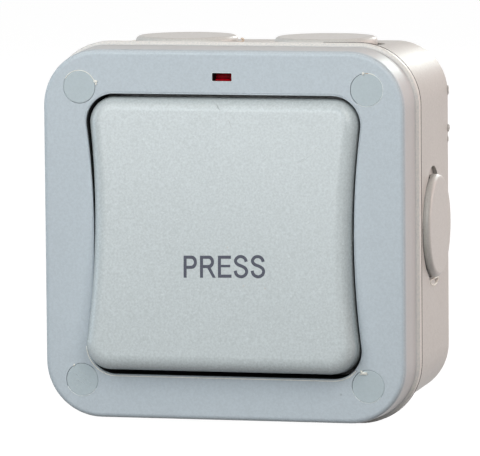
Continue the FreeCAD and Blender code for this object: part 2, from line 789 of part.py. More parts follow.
def cover_well(body):
    """The sunk tray that the rocker works in."""
    block = new_sketch(body, "well_block", TRAY_REAR)
    waisted_outline(
        block,
        OPENING_HALF_WAIST + D.well_wall,
        OPENING_HALF_HEIGHT + D.well_wall,
        D.opening_side_radius - D.well_wall,
        D.opening_corner + D.well_wall,
    )
    pad(body, "well", block, FACE - D.cover_face_wall + JOIN - TRAY_REAR)
    tubes = new_sketch(body, "tubes", D.box_depth)
    circles(tubes, corner_points(SCREW_AT, SCREW_AT), CAP_RECESS_RADIUS + D.tube_wall)
    pad(body, "screw_tubes", tubes, FACE - D.cover_face_wall + JOIN - D.box_depth)
    opening = new_sketch(body, "opening", FACE)
    waisted_outline(
        opening,
        OPENING_HALF_WAIST,
        OPENING_HALF_HEIGHT,
        D.opening_side_radius,
        D.opening_corner,
    )
    pocket(body, "opening_cut", opening, WELL_DEPTH)
    front = -FACE.number
    inside = OPENING_HALF_HEIGHT.number + CUT_CLEAR

    def on_rim(edge):
        near = all(abs(p.x) < inside and abs(p.z) < inside for p in edge_points(edge))
        return near and in_plane(edge, "y", front)

    fillet(body, "opening_rim", D.opening_edge_round, on_rim)
    bosses = new_sketch(body, "tray_bosses", TRAY_FRONT - JOIN)
    centres = corner_points(HOUSING_SCREW_X, D.housing_screw_z)
    circles(bosses, centres, D.tray_boss_radius)
    pad(body, "tray_boss", bosses, D.tray_boss_height + JOIN)
    spring_pin = new_sketch(body, "spring_pin", TRAY_FRONT - JOIN)
    circle(spring_pin, (0, -D.spring_drop), D.spring_pin_radius)
    pad(body, "spring_seat", spring_pin, D.spring_pin_height + JOIN)
    pilots = new_sketch(body, "tray_pilots", TRAY_REAR)
    circles(pilots, centres, D.housing_screw_radius + D.pilot_gap)
    pocket(body, "tray_pilot", pilots, D.housing_screw_length - D.flange_thickness + JOIN, reverse=True)
    hole = new_sketch(body, "floor_hole", TRAY_FRONT + CUT_CLEAR)
    circle(hole, (0, 0), D.floor_hole_radius)
    pocket(body, "boot_hole", hole, D.tray_floor + CUT_CLEAR * 2)
    recess = new_sketch(body, "boot_recess", TRAY_REAR)
    circle(recess, (0, 0), D.floor_hole_radius + D.boot_flange_width)
    pocket(body, "boot_seat", recess, D.boot_recess, reverse=True)
    bearing = new_sketch(body, "bearing", 0, "YZ_Plane")
    circle(bearing, (-ROCKER_PIVOT, 0), D.trunnion_radius + D.pivot_clearance)
    reach = OPENING_HALF_WAIST + D.well_wall + JOIN
    pocket(body, "trunnion_bearings", bearing, reach * 2, symmetric=True)


def cover_screw_holes(body):
    centres = corner_points(SCREW_AT, SCREW_AT)
    caps = new_sketch(body, "cap_recesses", FACE)
    circles(caps, centres, CAP_RECESS_RADIUS)
    pocket(body, "cap_recess", caps, D.cap_thickness)
    heads = new_sketch(body, "head_recesses", FACE)
    circles(heads, centres, D.cover_screw_head_radius + D.cover_screw_head_gap)
    pocket(body, "head_recess", heads, FACE - COVER_SCREW_SEAT)
    shanks = new_sketch(body, "shank_holes", FACE)
    circles(shanks, centres, D.cover_screw_radius + D.shank_gap)
    pocket(body, "shank_hole", shanks, FACE - D.box_depth + CUT_CLEAR)


def cover_neon_window(body):
    centre = (as_size(0), NEON_HEIGHT)
    half_width = D.neon_window_width / 2
    half_height = D.neon_window_height / 2
    frame = new_sketch(body, "window_frame", FACE - D.neon_window_depth)
    rectangle(frame, centre, half_width + D.neon_frame_wall, half_height + D.neon_frame_wall)
    pad(body, "window_collar", frame, D.neon_window_depth - D.cover_face_wall + JOIN)
    slot = new_sketch(body, "window_slot", FACE)
    rectangle(slot, centre, half_width, half_height)
    pocket(body, "window", slot, D.neon_window_depth + JOIN)

    def at_corner(edge):
        middle = edge_points(edge)[1]
        beside = abs(abs(middle.x) - half_width.number) < SAME_PLACE
        level = abs(abs(middle.z - NEON_HEIGHT.number) - half_height.number) < SAME_PLACE
        return beside and level and edge_runs(edge, "y")

    fillet(body, "window_corners", D.neon_window_corner, at_corner)


def front_cover():
    body = new_body("front_cover")
    cover_shell(body)
    cover_well(body)
    cover_screw_holes(body)
    cover_neon_window(body)
    return body


def screw_caps():
    names = ("top_right", "top_left", "bottom_right", "bottom_left")
    for name, centre in zip(names, corner_points(SCREW_AT, SCREW_AT)):
        body = new_body(f"screw_cap_{name}")
        disc = new_sketch(body, "disc", 0)
        circle(disc, (0, 0), D.cap_radius)
        pad(body, "cap", disc, D.cap_thickness)
        top = -D.cap_thickness.number
        fillet(body, "rim", D.cap_edge_round, lambda edge: in_plane(edge, "y", top))
        place(body, CAP_SEAT, *centre)


def cover_screws():
    head = (D.cover_screw_head_radius, D.cover_screw_head_height)
    shank = (D.cover_screw_radius, D.cover_screw_length)
    screws("cover_screws", corner_points(SCREW_AT, SCREW_AT), COVER_SCREW_SEAT, head, shank, True)


# Rocker, its spring and its boot

def press_rocker():
    """Drawn square about its pivot, then tipped so that its lower half stands out."""
    body = new_body("press_rocker")
    half_waist = OPENING_HALF_WAIST - D.rocker_side_gap
    half_height = OPENING_HALF_HEIGHT - D.rocker_end_gap
    side_radius = D.opening_side_radius + D.rocker_side_gap
    front = D.rocker_pivot_depth + D.rocker_proud
    rear = D.rocker_pivot_depth - WELL_DEPTH + D.rocker_skirt_lift
    inside = ROCKER_INSIDE
    outline = new_sketch(body, "outline", rear)
    waisted_outline(outline, half_waist, half_height, side_radius, D.rocker_corner)
    pad(body, "paddle", outline, front - rear)
    plane = -front.number
    fillet(body, "front_edge", D.rocker_edge_round, lambda edge: in_plane(edge, "y", plane))
    hollow = new_sketch(body, "hollow", rear)
    waisted_outline(
        hollow,
        half_waist - D.rocker_wall,
        half_height - D.rocker_wall,
        side_radius + D.rocker_wall,
        D.rocker_corner - D.rocker_wall,
    )
    pocket(body, "inside", hollow, inside - rear, reverse=True)
    rib_foot = rear + D.rocker_rib_inset
    rib_length = inside + JOIN - rib_foot
    upright = new_sketch(body, "upright_ribs", rib_foot)
    for sign in SIGNS:
        centre = (D.rocker_rib_spacing / 2 * sign, as_size(0))
        rectangle(upright, centre, D.rocker_rib / 2, half_height - D.rocker_wall + JOIN)
    pad(body, "upright_rib", upright, rib_length)
    level = new_sketch(body, "level_rib", rib_foot)
    rectangle(level, (as_size(0), as_size(0)), half_waist - D.rocker_wall + JOIN, D.rocker_rib / 2)
    pad(body, "cross_rib", level, rib_length)
    seat = new_sketch(body, "spring_seat", inside - D.spring_seat_height)
    circle(seat, (0, -D.spring_drop), D.spring_seat_radius)
    pad(body, "spring_boss", seat, D.spring_seat_height + JOIN)
    prong = new_sketch(body, "prong", -PRONG_REACH)
    circle(prong, (0, 0), D.prong_radius)
    pad(body, "drive_prong", prong, PRONG_REACH + inside + JOIN)
    tip = PRONG_REACH.number
    fillet(body, "prong_tip", D.prong_tip_round, lambda edge: in_plane(edge, "y", tip))
    root = half_waist - D.rocker_wall + JOIN
    end = OPENING_HALF_WAIST + D.well_wall - D.trunnion_end_gap
    for name, sign in (("right", 1), ("left", -1)):
        stub = new_sketch(body, f"{name}_trunnion", root * sign, "YZ_Plane")
        circle(stub, (0, 0), D.trunnion_radius)
        pad(body, f"{name}_pivot", stub, end - root, reverse=sign < 0)
    place(body, ROCKER_PIVOT, angle=-D.rocker_rest_tilt)
    return body


def helical_spring(label, radius, wire, turns, length):
    """A round wire spring that climbs its own Z axis from zero to its length."""
    body = new_body(label)
    section = new_sketch(body, "section")
    circle(section, (radius, wire), wire)
    coil = body.newObject("PartDesign::AdditiveHelix", "coil")
    coil.Profile = section
    coil.ReferenceAxis = (section, ["V_Axis"])
    coil.Mode = "height-turns-angle"
    bind(coil, "Height", length - wire * 2)
    bind(coil, "Turns", turns)
    return body


def return_spring():
    """Stands on the tray and reaches to the boss inside the tipped rocker."""
    seat_along, _ = turned(ROCKER_INSIDE - D.spring_seat_height, D.rocker_rest_tilt)
    _, seat_rise = turned(D.spring_drop - D.spring_radius - D.spring_wire, D.rocker_rest_tilt)
    room = ROCKER_PIVOT + seat_along + seat_rise - TRAY_FRONT
    length = room - D.spring_end_gap
    body = helical_spring("return_spring", D.spring_radius, D.spring_wire, D.spring_turns, length)
    place(body, TRAY_FRONT, 0, -D.spring_drop, angle=90)


def rocker_seal():
    """The rubber boot that closes the hole in the tray round the rocker's prong."""
    body = new_body("rocker_seal")
    profile = new_sketch(body, "profile")
    collar = D.prong_radius + D.boot_collar_gap
    root = D.floor_hole_radius - D.boot_gap
    flange = D.floor_hole_radius + D.boot_flange_width - D.boot_gap
    polygon(profile, [
        (flange, 0),
        (flange, D.boot_flange),
        (root, D.boot_flange),
        (root, D.boot_shoulder),
        (collar + D.boot_wall, D.boot_cone),
        (collar + D.boot_wall, D.boot_height),
        (collar, D.boot_height),
        (collar, D.boot_cone - D.boot_wall),
        (root - D.boot_wall, D.boot_shoulder - D.boot_wall),
        (root - D.boot_wall, 0),
    ])
    revolve(body, "boot", profile)
    place(body, TRAY_REAR, angle=90)


# Neon indicator

def neon_indicator():
    front = FACE - D.neon_window_depth
    centre = (as_size(0), NEON_HEIGHT)
    holder = new_body("neon_holder")
    rear = COVER_REAR + D.holder_rear_gap
    case = new_sketch(holder, "case", rear)
    rectangle(case, centre, D.holder_width / 2, D.holder_height / 2)
    pad(holder, "shell", case, front - rear)
    hollow = new_sketch(holder, "hollow", front)
    inner_width = D.holder_width / 2 - D.holder_wall
    inner_height = D.holder_height / 2 - D.holder_wall
    rectangle(hollow, centre, inner_width, inner_height)
    pocket(holder, "inside", hollow, front - rear - D.holder_end_wall)
    lens = new_body("neon_lens")
    pane = new_sketch(lens, "pane", front - D.lens_thickness)
    rectangle(pane, centre, inner_width - D.holder_fit, inner_height - D.holder_fit)
    pad(lens, "lens", pane, D.lens_thickness)
    lamp_depth = front - D.lens_thickness - D.lamp_gap - D.lamp_radius
    lamp = new_body("neon_lamp")
    bulb = new_sketch(lamp, "bulb", 0, "YZ_Plane")
    circle(bulb, (-lamp_depth, NEON_HEIGHT), D.lamp_radius)
    pad(lamp, "glass", bulb, D.lamp_length, symmetric=True)
    ends = D.lamp_length.number / 2

    def at_end(edge):
        return in_plane(edge, "x", ends) or in_plane(edge, "x", -ends)

    fillet(lamp, "glass_ends", D.lamp_end_round, at_end)
    resistor_depth = rear + D.holder_end_wall + D.lamp_gap + D.resistor_radius
    resistor = new_body("neon_resistor")
    core = new_sketch(resistor, "core", 0, "YZ_Plane")
    circle(core, (-resistor_depth, NEON_HEIGHT), D.resistor_radius)
    pad(resistor, "body", core, D.resistor_length, symmetric=True)


# Switch mechanism

def switch_housing():
    body = new_body("switch_housing")
    flange = new_sketch(body, "flange", TRAY_REAR - D.flange_thickness)
    flange_half_width = HOUSING_SCREW_X + D.flange_margin
    rectangle(flange, (0, 0), flange_half_width, D.housing_screw_z + D.flange_margin)
    pad(body, "flange_plate", flange, D.flange_thickness)
    edge_x = flange_half_width.number

    def at_corner(edge):
        middle = edge_points(edge)[1]
        return abs(abs(middle.x) - edge_x) < SAME_PLACE and edge_runs(edge, "y")

    fillet(body, "flange_corners", D.flange_corner, at_corner)
    case = new_sketch(body, "case", HOUSING_REAR)
    block_half = D.terminal_height / 2 + D.terminal_gap
    case_half_height = D.terminal_pitch + block_half + D.housing_end_wall
    rectangle(case, (0, 0), HOUSING_HALF_WIDTH, case_half_height)
    pad(body, "case_block", case, TRAY_REAR - HOUSING_REAR - JOIN)
    cavity = new_sketch(body, "cavity", TRAY_REAR)
    rectangle(cavity, (0, 0), D.cavity_width / 2, CONTACT_HALF + D.cavity_end_gap)
    pocket(body, "mechanism_space", cavity, TRAY_REAR - CAVITY_FLOOR)
    pockets = new_sketch(body, "pockets", HOUSING_REAR)
    for place_up in TERMINAL_PLACES.values():
        half_width = D.terminal_width / 2 + D.terminal_gap
        rectangle(pockets, (as_size(0), place_up), half_width, block_half)
    pocket(body, "terminal_pockets", pockets, POCKET_FLOOR - HOUSING_REAR, reverse=True)
    slots = new_sketch(body, "slots", CAVITY_FLOOR + JOIN)
    for place_up in POST_PLACES.values():
        half_width = D.post_width / 2 + D.terminal_gap
        rectangle(slots, (as_size(0), place_up), half_width, D.post_thickness / 2 + D.terminal_gap)
    pocket(body, "post_slots", slots, D.housing_web + JOIN * 2)
    bearing = new_sketch(body, "bearing", 0, "YZ_Plane")
    circle(bearing, (-DOLLY_PIVOT, 0), D.dolly_pin_radius + D.pivot_clearance)
    reach = D.cavity_width + (D.dolly_pin_length + D.trunnion_end_gap) * 2
    pocket(body, "dolly_bearings", bearing, reach, symmetric=True)
    wires = new_sketch(body, "wires", 0, "YZ_Plane")
    circles(wires, [(-WIRE_HOLE_AT, up) for up in TERMINAL_PLACES.values()], D.wire_hole_radius)
    pocket(body, "wire_holes", wires, HOUSING_HALF_WIDTH * 2 + CUT_CLEAR, symmetric=True)
    holes = new_sketch(body, "flange_holes", TRAY_REAR)
    centres = corner_points(HOUSING_SCREW_X, D.housing_screw_z)
    circles(holes, centres, D.housing_screw_radius + D.shank_gap)
    pocket(body, "flange_hole", holes, D.flange_thickness + CUT_CLEAR)
    return body


def dolly():
    """Drawn square about its pivot, then tipped the other way from the rocker."""
    body = new_body("dolly")
    hub = new_sketch(body, "hub", 0, "YZ_Plane")
    circle(hub, (0, 0), D.dolly_hub_radius)
    hub_width = D.cavity_width - D.dolly_side_gap * 2
    pad(body, "barrel", hub, hub_width, symmetric=True)
    pins = new_sketch(body, "pins", 0, "YZ_Plane")
    circle(pins, (0, 0), D.dolly_pin_radius)
    pad(body, "pivot_pins", pins, D.cavity_width + D.dolly_pin_length * 2, symmetric=True)
    head = new_sketch(body, "head", D.dolly_hub_radius / 2)
    rectangle(head, (0, 0), D.fork_width / 2, HALF_SLOT + D.fork_cheek)
    pad(body, "fork", head, D.fork_reach - D.dolly_hub_radius / 2)
    slot = new_sketch(body, "slot", D.fork_reach)
    rectangle(slot, (0, 0), D.fork_width / 2 + JOIN, HALF_SLOT)
    pocket(body, "fork_slot", slot, D.fork_slot_depth)
    leg = new_sketch(body, "leg", -LEG_LENGTH)
    circle(leg, (0, 0), D.leg_radius)
    pad(body, "plunger_leg", leg, LEG_LENGTH)
    bore = new_sketch(body, "bore", -LEG_LENGTH)
    circle(bore, (0, 0), D.plunger_radius + D.plunger_gap)
    pocket(body, "plunger_bore", bore, LEG_LENGTH + D.plunger_bore_beyond, reverse=True)
    place(body, DOLLY_PIVOT, angle=D.dolly_rest_tilt)


def plunger():
    body = new_body("plunger")
    disc = new_sketch(body, "disc", -PLUNGER_TIP)
    circle(disc, (0, 0), D.plunger_radius)
    pad(body, "rod", disc, D.plunger_length)
    nose = PLUNGER_TIP.number
    fillet(body, "nose", D.plunger_nose_round, lambda edge: in_plane(edge, "y", nose))
    place(body, DOLLY_PIVOT, angle=D.dolly_rest_tilt)


def plunger_spring():
    seat = PLUNGER_TIP - D.plunger_length
    length = D.plunger_bore_beyond + seat - D.plunger_gap * 2
    body = helical_spring(
        "plunger_spring", D.plunger_spring_radius, D.plunger_spring_wire,
        D.plunger_spring_turns, length)
    depth, up = turned(seat - D.plunger_gap, D.dolly_rest_tilt)
    place(body, DOLLY_PIVOT - depth, 0, up, angle=D.dolly_rest_tilt + 90)


def moving_contact():
    """A see-saw strip, drawn level about the knife edge that it rocks on."""
    body = new_body("moving_contact")
    notch = D.contact_notch
    strip = new_sketch(body, "strip", 0, "YZ_Plane")
    polygon(strip, [
        (0, -CONTACT_HALF),
        (0, -notch * 2),
        (-notch, 0),
        (0, notch * 2),
        (0, CONTACT_HALF),
        (-D.contact_thickness, CONTACT_HALF),
        (-D.contact_thickness, -CONTACT_HALF),
    ])
    pad(body, "rocking_strip", strip, D.contact_width, symmetric=True)
    place(body, CONTACT_PIVOT, angle=-D.contact_rest_tilt)
    tips = new_body("moving_contact_tips")
    discs = new_sketch(tips, "discs", -D.tip_height)
    circles(discs, [(as_size(0), TIP_AT * sign) for sign in SIGNS], D.tip_radius)
    pad(tips, "tip", discs, D.tip_height)
    place(tips, CONTACT_PIVOT, angle=-D.contact_rest_tilt)


TERMINAL_PLACES = {
    "common_terminal": as_size(0),
    "upper_terminal": D.terminal_pitch,
    "lower_terminal": -D.terminal_pitch,
}
POST_PLACES = {
    "common_terminal": as_size(0),
    "upper_terminal": TIP_AT,
    "lower_terminal": -TIP_AT,
}


def terminals():
    _, drop = turned(TIP_AT, D.contact_rest_tilt)
    fixed_tip_top = CONTACT_PIVOT - D.tip_height - drop - D.contact_gap
    fixed_post_top = fixed_tip_top - D.tip_height
    knife_edge = CONTACT_PIVOT + D.contact_notch - D.contact_gap
    for label, block_up in TERMINAL_PLACES.items():
        body = new_body(label)
        block = new_sketch(body, "block", TERMINAL_REAR)
        rectangle(block, (as_size(0), block_up), D.terminal_width / 2, D.terminal_height / 2)
        pad(body, "terminal_block", block, D.terminal_depth)
        post_up = POST_PLACES[label]
        half = D.post_thickness / 2
        if label == "common_terminal":
            post = new_sketch(body, "post", 0, "YZ_Plane")
            shoulder = knife_edge - D.post_thickness
            polygon(post, [
                (-(POCKET_FLOOR - JOIN), -half),
                (-(POCKET_FLOOR - JOIN), half),
                (-shoulder, half),
                (-knife_edge, 0),
                (-shoulder, -half),
            ])
            pad(body, "knife_post", post, D.post_width, symmetric=True)
        else:
            post = new_sketch(body, "post", POCKET_FLOOR - JOIN)
            rectangle(post, (as_size(0), post_up), D.post_width / 2, half)
            pad(body, "contact_post", post, fixed_post_top - POCKET_FLOOR + JOIN)
        wire = new_sketch(body, "wire", 0, "YZ_Plane")
        circle(wire, (-WIRE_HOLE_AT, block_up), D.wire_hole_radius)
        pocket(body, "wire_hole", wire, D.terminal_width + CUT_CLEAR, symmetric=True)
        screw = new_sketch(body, "screw", TERMINAL_REAR)
        circle(screw, (as_size(0), block_up), D.terminal_screw_radius + D.thread_gap)
        pocket(body, "screw_hole", screw, WIRE_HOLE_AT - TERMINAL_REAR, reverse=True)
    tips = new_body("fixed_contact_tips")
    discs = new_sketch(tips, "discs", fixed_post_top)
    circles(discs, [(as_size(0), TIP_AT * sign) for sign in SIGNS], D.tip_radius)
    pad(tips, "tip", discs, D.tip_height)
    head = (D.terminal_screw_head_radius, D.terminal_screw_head_height)
    shank = (D.terminal_screw_radius, D.terminal_screw_length)
    centres = [(as_size(0), up) for up in TERMINAL_PLACES.values()]
    screws("terminal_screws", centres, TERMINAL_REAR, head, shank, False)


def housing_screws():
    centres = corner_points(HOUSING_SCREW_X, D.housing_screw_z)
    head = (D.housing_screw_head_radius, D.housing_screw_head_height)
    shank = (D.housing_screw_radius, D.housing_screw_length)
    screws("housing_screws", centres, TRAY_REAR - D.flange_thickness, head, shank, False)


def earth_terminal():
    centre = (as_size(0), -D.earth_drop)
    foot = D.box_floor + D.fixing_boss_height
    top = foot + D.earth_height
    body = new_body("earth_terminal")
    block = new_sketch(body, "block", foot)
    rectangle(block, centre, D.earth_size / 2, D.earth_size / 2)
    pad(body, "earth_block", block, D.earth_height)
    wire = new_sketch(body, "wire", 0, "YZ_Plane")
    circle(wire, (-(top - D.wire_hole_drop), -D.earth_drop), D.wire_hole_radius)
    pocket(body, "wire_hole", wire, D.earth_size + CUT_CLEAR, symmetric=True)
    screw = new_sketch(body, "screw", top)
    circle(screw, centre, D.terminal_screw_radius + D.thread_gap)
    pocket(body, "screw_hole", screw, D.wire_hole_drop)
    head = (D.terminal_screw_head_radius, D.terminal_screw_head_height)
    shank = (D.terminal_screw_radius, D.terminal_screw_length)
    screws("earth_screw", [centre], top, head, shank, True)


def write_parts():
    failed = [item.Label for item in doc.Objects if {"Invalid", "Error"} & set(item.State)]
    if failed:
        raise ValueError(f"failed objects: {failed}")
    for body in subparts:
        shape = body.Shape
        if shape.isNull() or not shape.isValid() or not shape.Solids:
            raise ValueError(f"{body.Label} has no valid solid")
    os.makedirs("parts", exist_ok=True)
    for body in subparts:
        body.Shape.exportStep(f"parts/{body.Label}.step")


back_box()
box_gasket()
entry_plugs()
front_cover()
screw_caps()
cover_screws()
press_rocker()
return_spring()
rocker_seal()
neon_indicator()
switch_housing()
dolly()
plunger()
plunger_spring()
moving_contact()
terminals()
housing_screws()
earth_terminal()
doc.recompute()
write_parts()
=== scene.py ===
import json
import math

import bmesh
import bpy
from mathutils import Matrix, Vector, noise


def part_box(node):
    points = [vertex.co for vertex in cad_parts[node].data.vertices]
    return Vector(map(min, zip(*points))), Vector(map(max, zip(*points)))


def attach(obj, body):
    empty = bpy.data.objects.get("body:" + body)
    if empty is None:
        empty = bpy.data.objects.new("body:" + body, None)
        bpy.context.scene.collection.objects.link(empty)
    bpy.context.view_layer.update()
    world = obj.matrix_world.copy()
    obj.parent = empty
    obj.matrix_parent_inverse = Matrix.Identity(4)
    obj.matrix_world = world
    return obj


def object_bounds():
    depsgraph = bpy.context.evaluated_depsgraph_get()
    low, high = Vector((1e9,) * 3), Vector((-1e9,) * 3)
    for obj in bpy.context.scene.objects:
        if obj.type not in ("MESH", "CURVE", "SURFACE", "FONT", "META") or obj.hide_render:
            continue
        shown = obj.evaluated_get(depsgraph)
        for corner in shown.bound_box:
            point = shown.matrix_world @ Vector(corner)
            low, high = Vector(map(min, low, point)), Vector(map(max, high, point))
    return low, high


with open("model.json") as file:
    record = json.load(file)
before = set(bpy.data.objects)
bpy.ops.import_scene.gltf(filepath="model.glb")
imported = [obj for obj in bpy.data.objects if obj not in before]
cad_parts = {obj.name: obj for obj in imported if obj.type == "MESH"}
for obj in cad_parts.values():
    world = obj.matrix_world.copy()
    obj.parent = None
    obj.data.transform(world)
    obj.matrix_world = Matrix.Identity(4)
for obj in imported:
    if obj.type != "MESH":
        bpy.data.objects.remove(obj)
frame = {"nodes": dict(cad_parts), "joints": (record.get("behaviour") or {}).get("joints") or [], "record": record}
cad_box = [list(corner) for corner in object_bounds()]

# Lengths are millimetres and angles are degrees unless a comment says otherwise, in the frame of
# the CAD model: +Z is up, the front faces -Y, and the wall is at y = 0.

MM = 0.001
JOINTS = {joint["name"]: joint for joint in frame["joints"]}

FACE_Y = (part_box("front_cover")[0] / MM).y
FLOOR_Z = cad_box[0][2] / MM

ROCKER_PIVOT = Vector(JOINTS["rocker_pivot"]["pos_m"]) / MM
ROCKER_FACE = 7.7
ROCKER_TILT = math.radians(5.5)
ROCKER_OUTWARD = Vector((0, -math.cos(ROCKER_TILT), math.sin(ROCKER_TILT)))
ROCKER_UPWARD = Vector((0, math.sin(ROCKER_TILT), math.cos(ROCKER_TILT)))

# The cover's outline at its lip and at its front edge
COVER_REAR = -40.95
COVER_HALF = 46.0
COVER_CORNER = 15.0
EDGE_HALF = 44.2
EDGE_CORNER = 13.2

# The cover's caps, and the box's side with the middle of its entries
CAP_AT = 35.6
CAP_RADIUS = 3.95
BOX_SIDE = 44.0
ENTRY_Y = -19.6

# The rocker's opening in the cover
OPENING_HALF_WAIST = 32.3
OPENING_HALF_HEIGHT = 34.1
OPENING_SIDE_RADIUS = 203.0
OPENING_CORNER = 7.0

# The neon window in the cover
WINDOW_MIDDLE = 38.3
WINDOW_HALF_WIDTH = 2.45
WINDOW_HALF_HEIGHT = 1.0
WINDOW_DEPTH = 3.6


# Camera, fitted to the edges of the photograph

PHOTO_WIDTH = 480
SENSOR = 36.0
FOCAL_PIXELS = 5451.17
CAMERA_YAW = 14.405
CAMERA_PITCH = 5.784
CAMERA_ROLL = -0.468
CAMERA_DISTANCE = 1309.50
CAMERA_TARGET = Vector((4.213, FACE_Y, 2.046))
CLIP_METRES = (0.01, 20)


def make_camera():
    yaw, pitch, roll = (math.radians(a) for a in (CAMERA_YAW, CAMERA_PITCH, CAMERA_ROLL))
    back = Vector((math.sin(yaw) * math.cos(pitch), -math.cos(yaw) * math.cos(pitch),
                   math.sin(pitch)))
    right = Vector((math.cos(yaw), math.sin(yaw), 0))
    up = back.cross(right)
    right_rolled = right * math.cos(roll) + up * math.sin(roll)
    up_rolled = up * math.cos(roll) - right * math.sin(roll)
    turn = Matrix((right_rolled, up_rolled, back)).transposed().to_4x4()
    place = CAMERA_TARGET + back * CAMERA_DISTANCE
    data = bpy.data.cameras.new("camera")
    data.sensor_width = SENSOR
    data.sensor_fit = "HORIZONTAL"
    data.lens = FOCAL_PIXELS / PHOTO_WIDTH * SENSOR
    data.clip_start, data.clip_end = CLIP_METRES
    camera = bpy.data.objects.new("camera", data)
    camera.matrix_world = Matrix.Translation(place * MM) @ turn
    bpy.context.scene.collection.objects.link(camera)
    bpy.context.scene.camera = camera


# Nodes

class Nodes:
    """The emptied node tree of a material or a world, with short calls to fill it."""

    def __init__(self, owner, output):
        owner.use_nodes = True
        self.owner = owner
        self.tree = owner.node_tree
        self.tree.nodes.clear()
        self.surface = self.add(output).inputs["Surface"]

    def add(self, kind, **settings):
        node = self.tree.nodes.new(kind)
        for key, value in settings.items():
            setattr(node, key, value)
        return node

    def link(self, source, target):
        self.tree.links.new(source, target)

    def fill(self, socket, value):
        """Set a socket to a constant, or link it to another node's socket."""
        if isinstance(value, (tuple, float)):
            socket.default_value = value
        else:
            self.link(value, socket)

    def ramp(self, value, low, high, out_low, out_high):
        node = self.add("ShaderNodeMapRange")
        ends = {"From Min": low, "From Max": high, "To Min": out_low, "To Max": out_high}
        for key, number in ends.items():
            node.inputs[key].default_value = number
        self.link(value, node.inputs["Value"])
        return node.outputs["Result"]

    def spread(self, value, low, high, cut=0.3):
        """The middle of a noise's range, spread from low to high."""
        return self.ramp(value, cut, 1 - cut, low, high)

    def mix(self, factor, first, second):
        node = self.add("ShaderNodeMix", data_type="RGBA")
        for index, value in ((0, factor), (6, first), (7, second)):
            self.fill(node.inputs[index], value)
        return node.outputs[2]

    def math(self, operation, first, second):
        node = self.add("ShaderNodeMath", operation=operation)
        self.fill(node.inputs[0], first)
        self.fill(node.inputs[1], second)
        return node.outputs[0]

    def seen(self):
        """1 for rays that show the backdrop: from the camera, off gloss and through glass."""
        path = self.add("ShaderNodeLightPath").outputs
        first = self.math("MAXIMUM", path["Is Camera Ray"], path["Is Glossy Ray"])
        return self.math("MAXIMUM", first, path["Is Transmission Ray"])


class Surface(Nodes):
    """The nodes of a new material, placed by the object's own coordinates."""

    def __init__(self, name):
        super().__init__(bpy.data.materials.new(name), "ShaderNodeOutputMaterial")
        self.place = self.add("ShaderNodeTexCoord").outputs["Object"]

    def noise(self, scale, detail, roughness):
        """Noise of so many waves a metre."""
        node = self.add("ShaderNodeTexNoise")
        for key, number in (("Scale", scale), ("Detail", detail), ("Roughness", roughness)):
            node.inputs[key].default_value = number
        self.link(self.place, node.inputs["Vector"])
        return node.outputs["Fac"]

    def distance(self, point):
        """Distance in metres from a point given in millimetres."""
        node = self.add("ShaderNodeVectorMath", operation="DISTANCE")
        node.inputs[1].default_value = Vector(point) * MM
        self.link(self.place, node.inputs[0])
        return node.outputs["Value"]

    def depth(self):
        """The place along Y, in metres."""
        split = self.add("ShaderNodeSeparateXYZ")
        self.link(self.place, split.inputs[0])
        return split.outputs["Y"]

    def finish(self, color, roughness, height=None, bump=0.0, relief=0.1, rounding=0.0,
               metallic=0.0, specular=0.5, glass=0.0):
        """Shade the surface. Relief and rounding are in mm. Gives the material."""
        shader = self.add("ShaderNodeBsdfPrincipled")
        self.link(color, shader.inputs["Base Color"])
        self.link(roughness, shader.inputs["Roughness"])
        shader.inputs["Metallic"].default_value = metallic
        shader.inputs["Specular IOR Level"].default_value = specular
        if glass:
            shader.inputs["Transmission Weight"].default_value = glass
            shader.inputs["IOR"].default_value = GLASS_IOR
        normal = None
        if rounding:
            bevel = self.add("ShaderNodeBevel", samples=6)
            bevel.inputs["Radius"].default_value = rounding * MM
            normal = bevel.outputs["Normal"]
        if height is not None:
            node = self.add("ShaderNodeBump")
            node.inputs["Strength"].default_value = bump
            node.inputs["Distance"].default_value = relief * MM
            self.link(height, node.inputs["Height"])
            if normal is not None:
                self.link(normal, node.inputs["Normal"])
            normal = node.outputs["Normal"]
        if normal is not None:
            self.link(normal, shader.inputs["Normal"])
        self.link(shader.outputs[0], self.surface)
        return self.owner


# Materials. Colours are sRGB, 0 to 255.

GLASS_IOR = 1.5
CLOUD_SCALE = 45
FINE_SCALE = 2000
COARSE_SCALE = 1100


def linear(red, green, blue):
    """Linear colour of an sRGB colour."""
    def channel(value):
        value = value / 255
        return value / 12.92 if value <= 0.04045 else ((value + 0.055) / 1.055) ** 2.4
    return (channel(red), channel(green), channel(blue), 1.0)


def shade(color, factor):
    return tuple(channel * factor for channel in color[:3]) + (1.0,)


# Small specks: place, radius, strength and colour
COVER_MARKS = [((28.9, FACE_Y, -37.7), 0.35, 0.5, (120, 126, 132))]
ROCKER_MARKS = [
    ((30.7, -56.9, 5.5), 0.35, 0.5, (120, 122, 124)),
    ((6.2, -58.5, -11.4), 0.3, 0.4, (186, 168, 150)),
    ((11.5, -58.6, -11.9), 0.3, 0.35, (186, 168, 150)),
    ((2.1, -57.7, -2.3), 0.3, 0.35, (190, 172, 154)),
    ((6.9, -57.6, -1.6), 0.4, 0.25, (150, 156, 158)),
    ((0.2, -54.5, 30.5), 0.5, 0.3, (160, 168, 170)),
]
PLUG_MARKS = [((BOX_SIDE, -22.0, -0.4), 0.3, 0.6, (120, 116, 112))]

# Painted light, set in along Y: from, to, strength and colour. The cover's sides are painted
# warmer, standing in for warm light on them, and its lip is painted pale as a highlight.
COVER_PAINTED_LIGHT = [(-53.0, -51.5, 0.7, (188, 186, 184)), (-43.85, -43.5, 0.7, (240, 234, 227))]

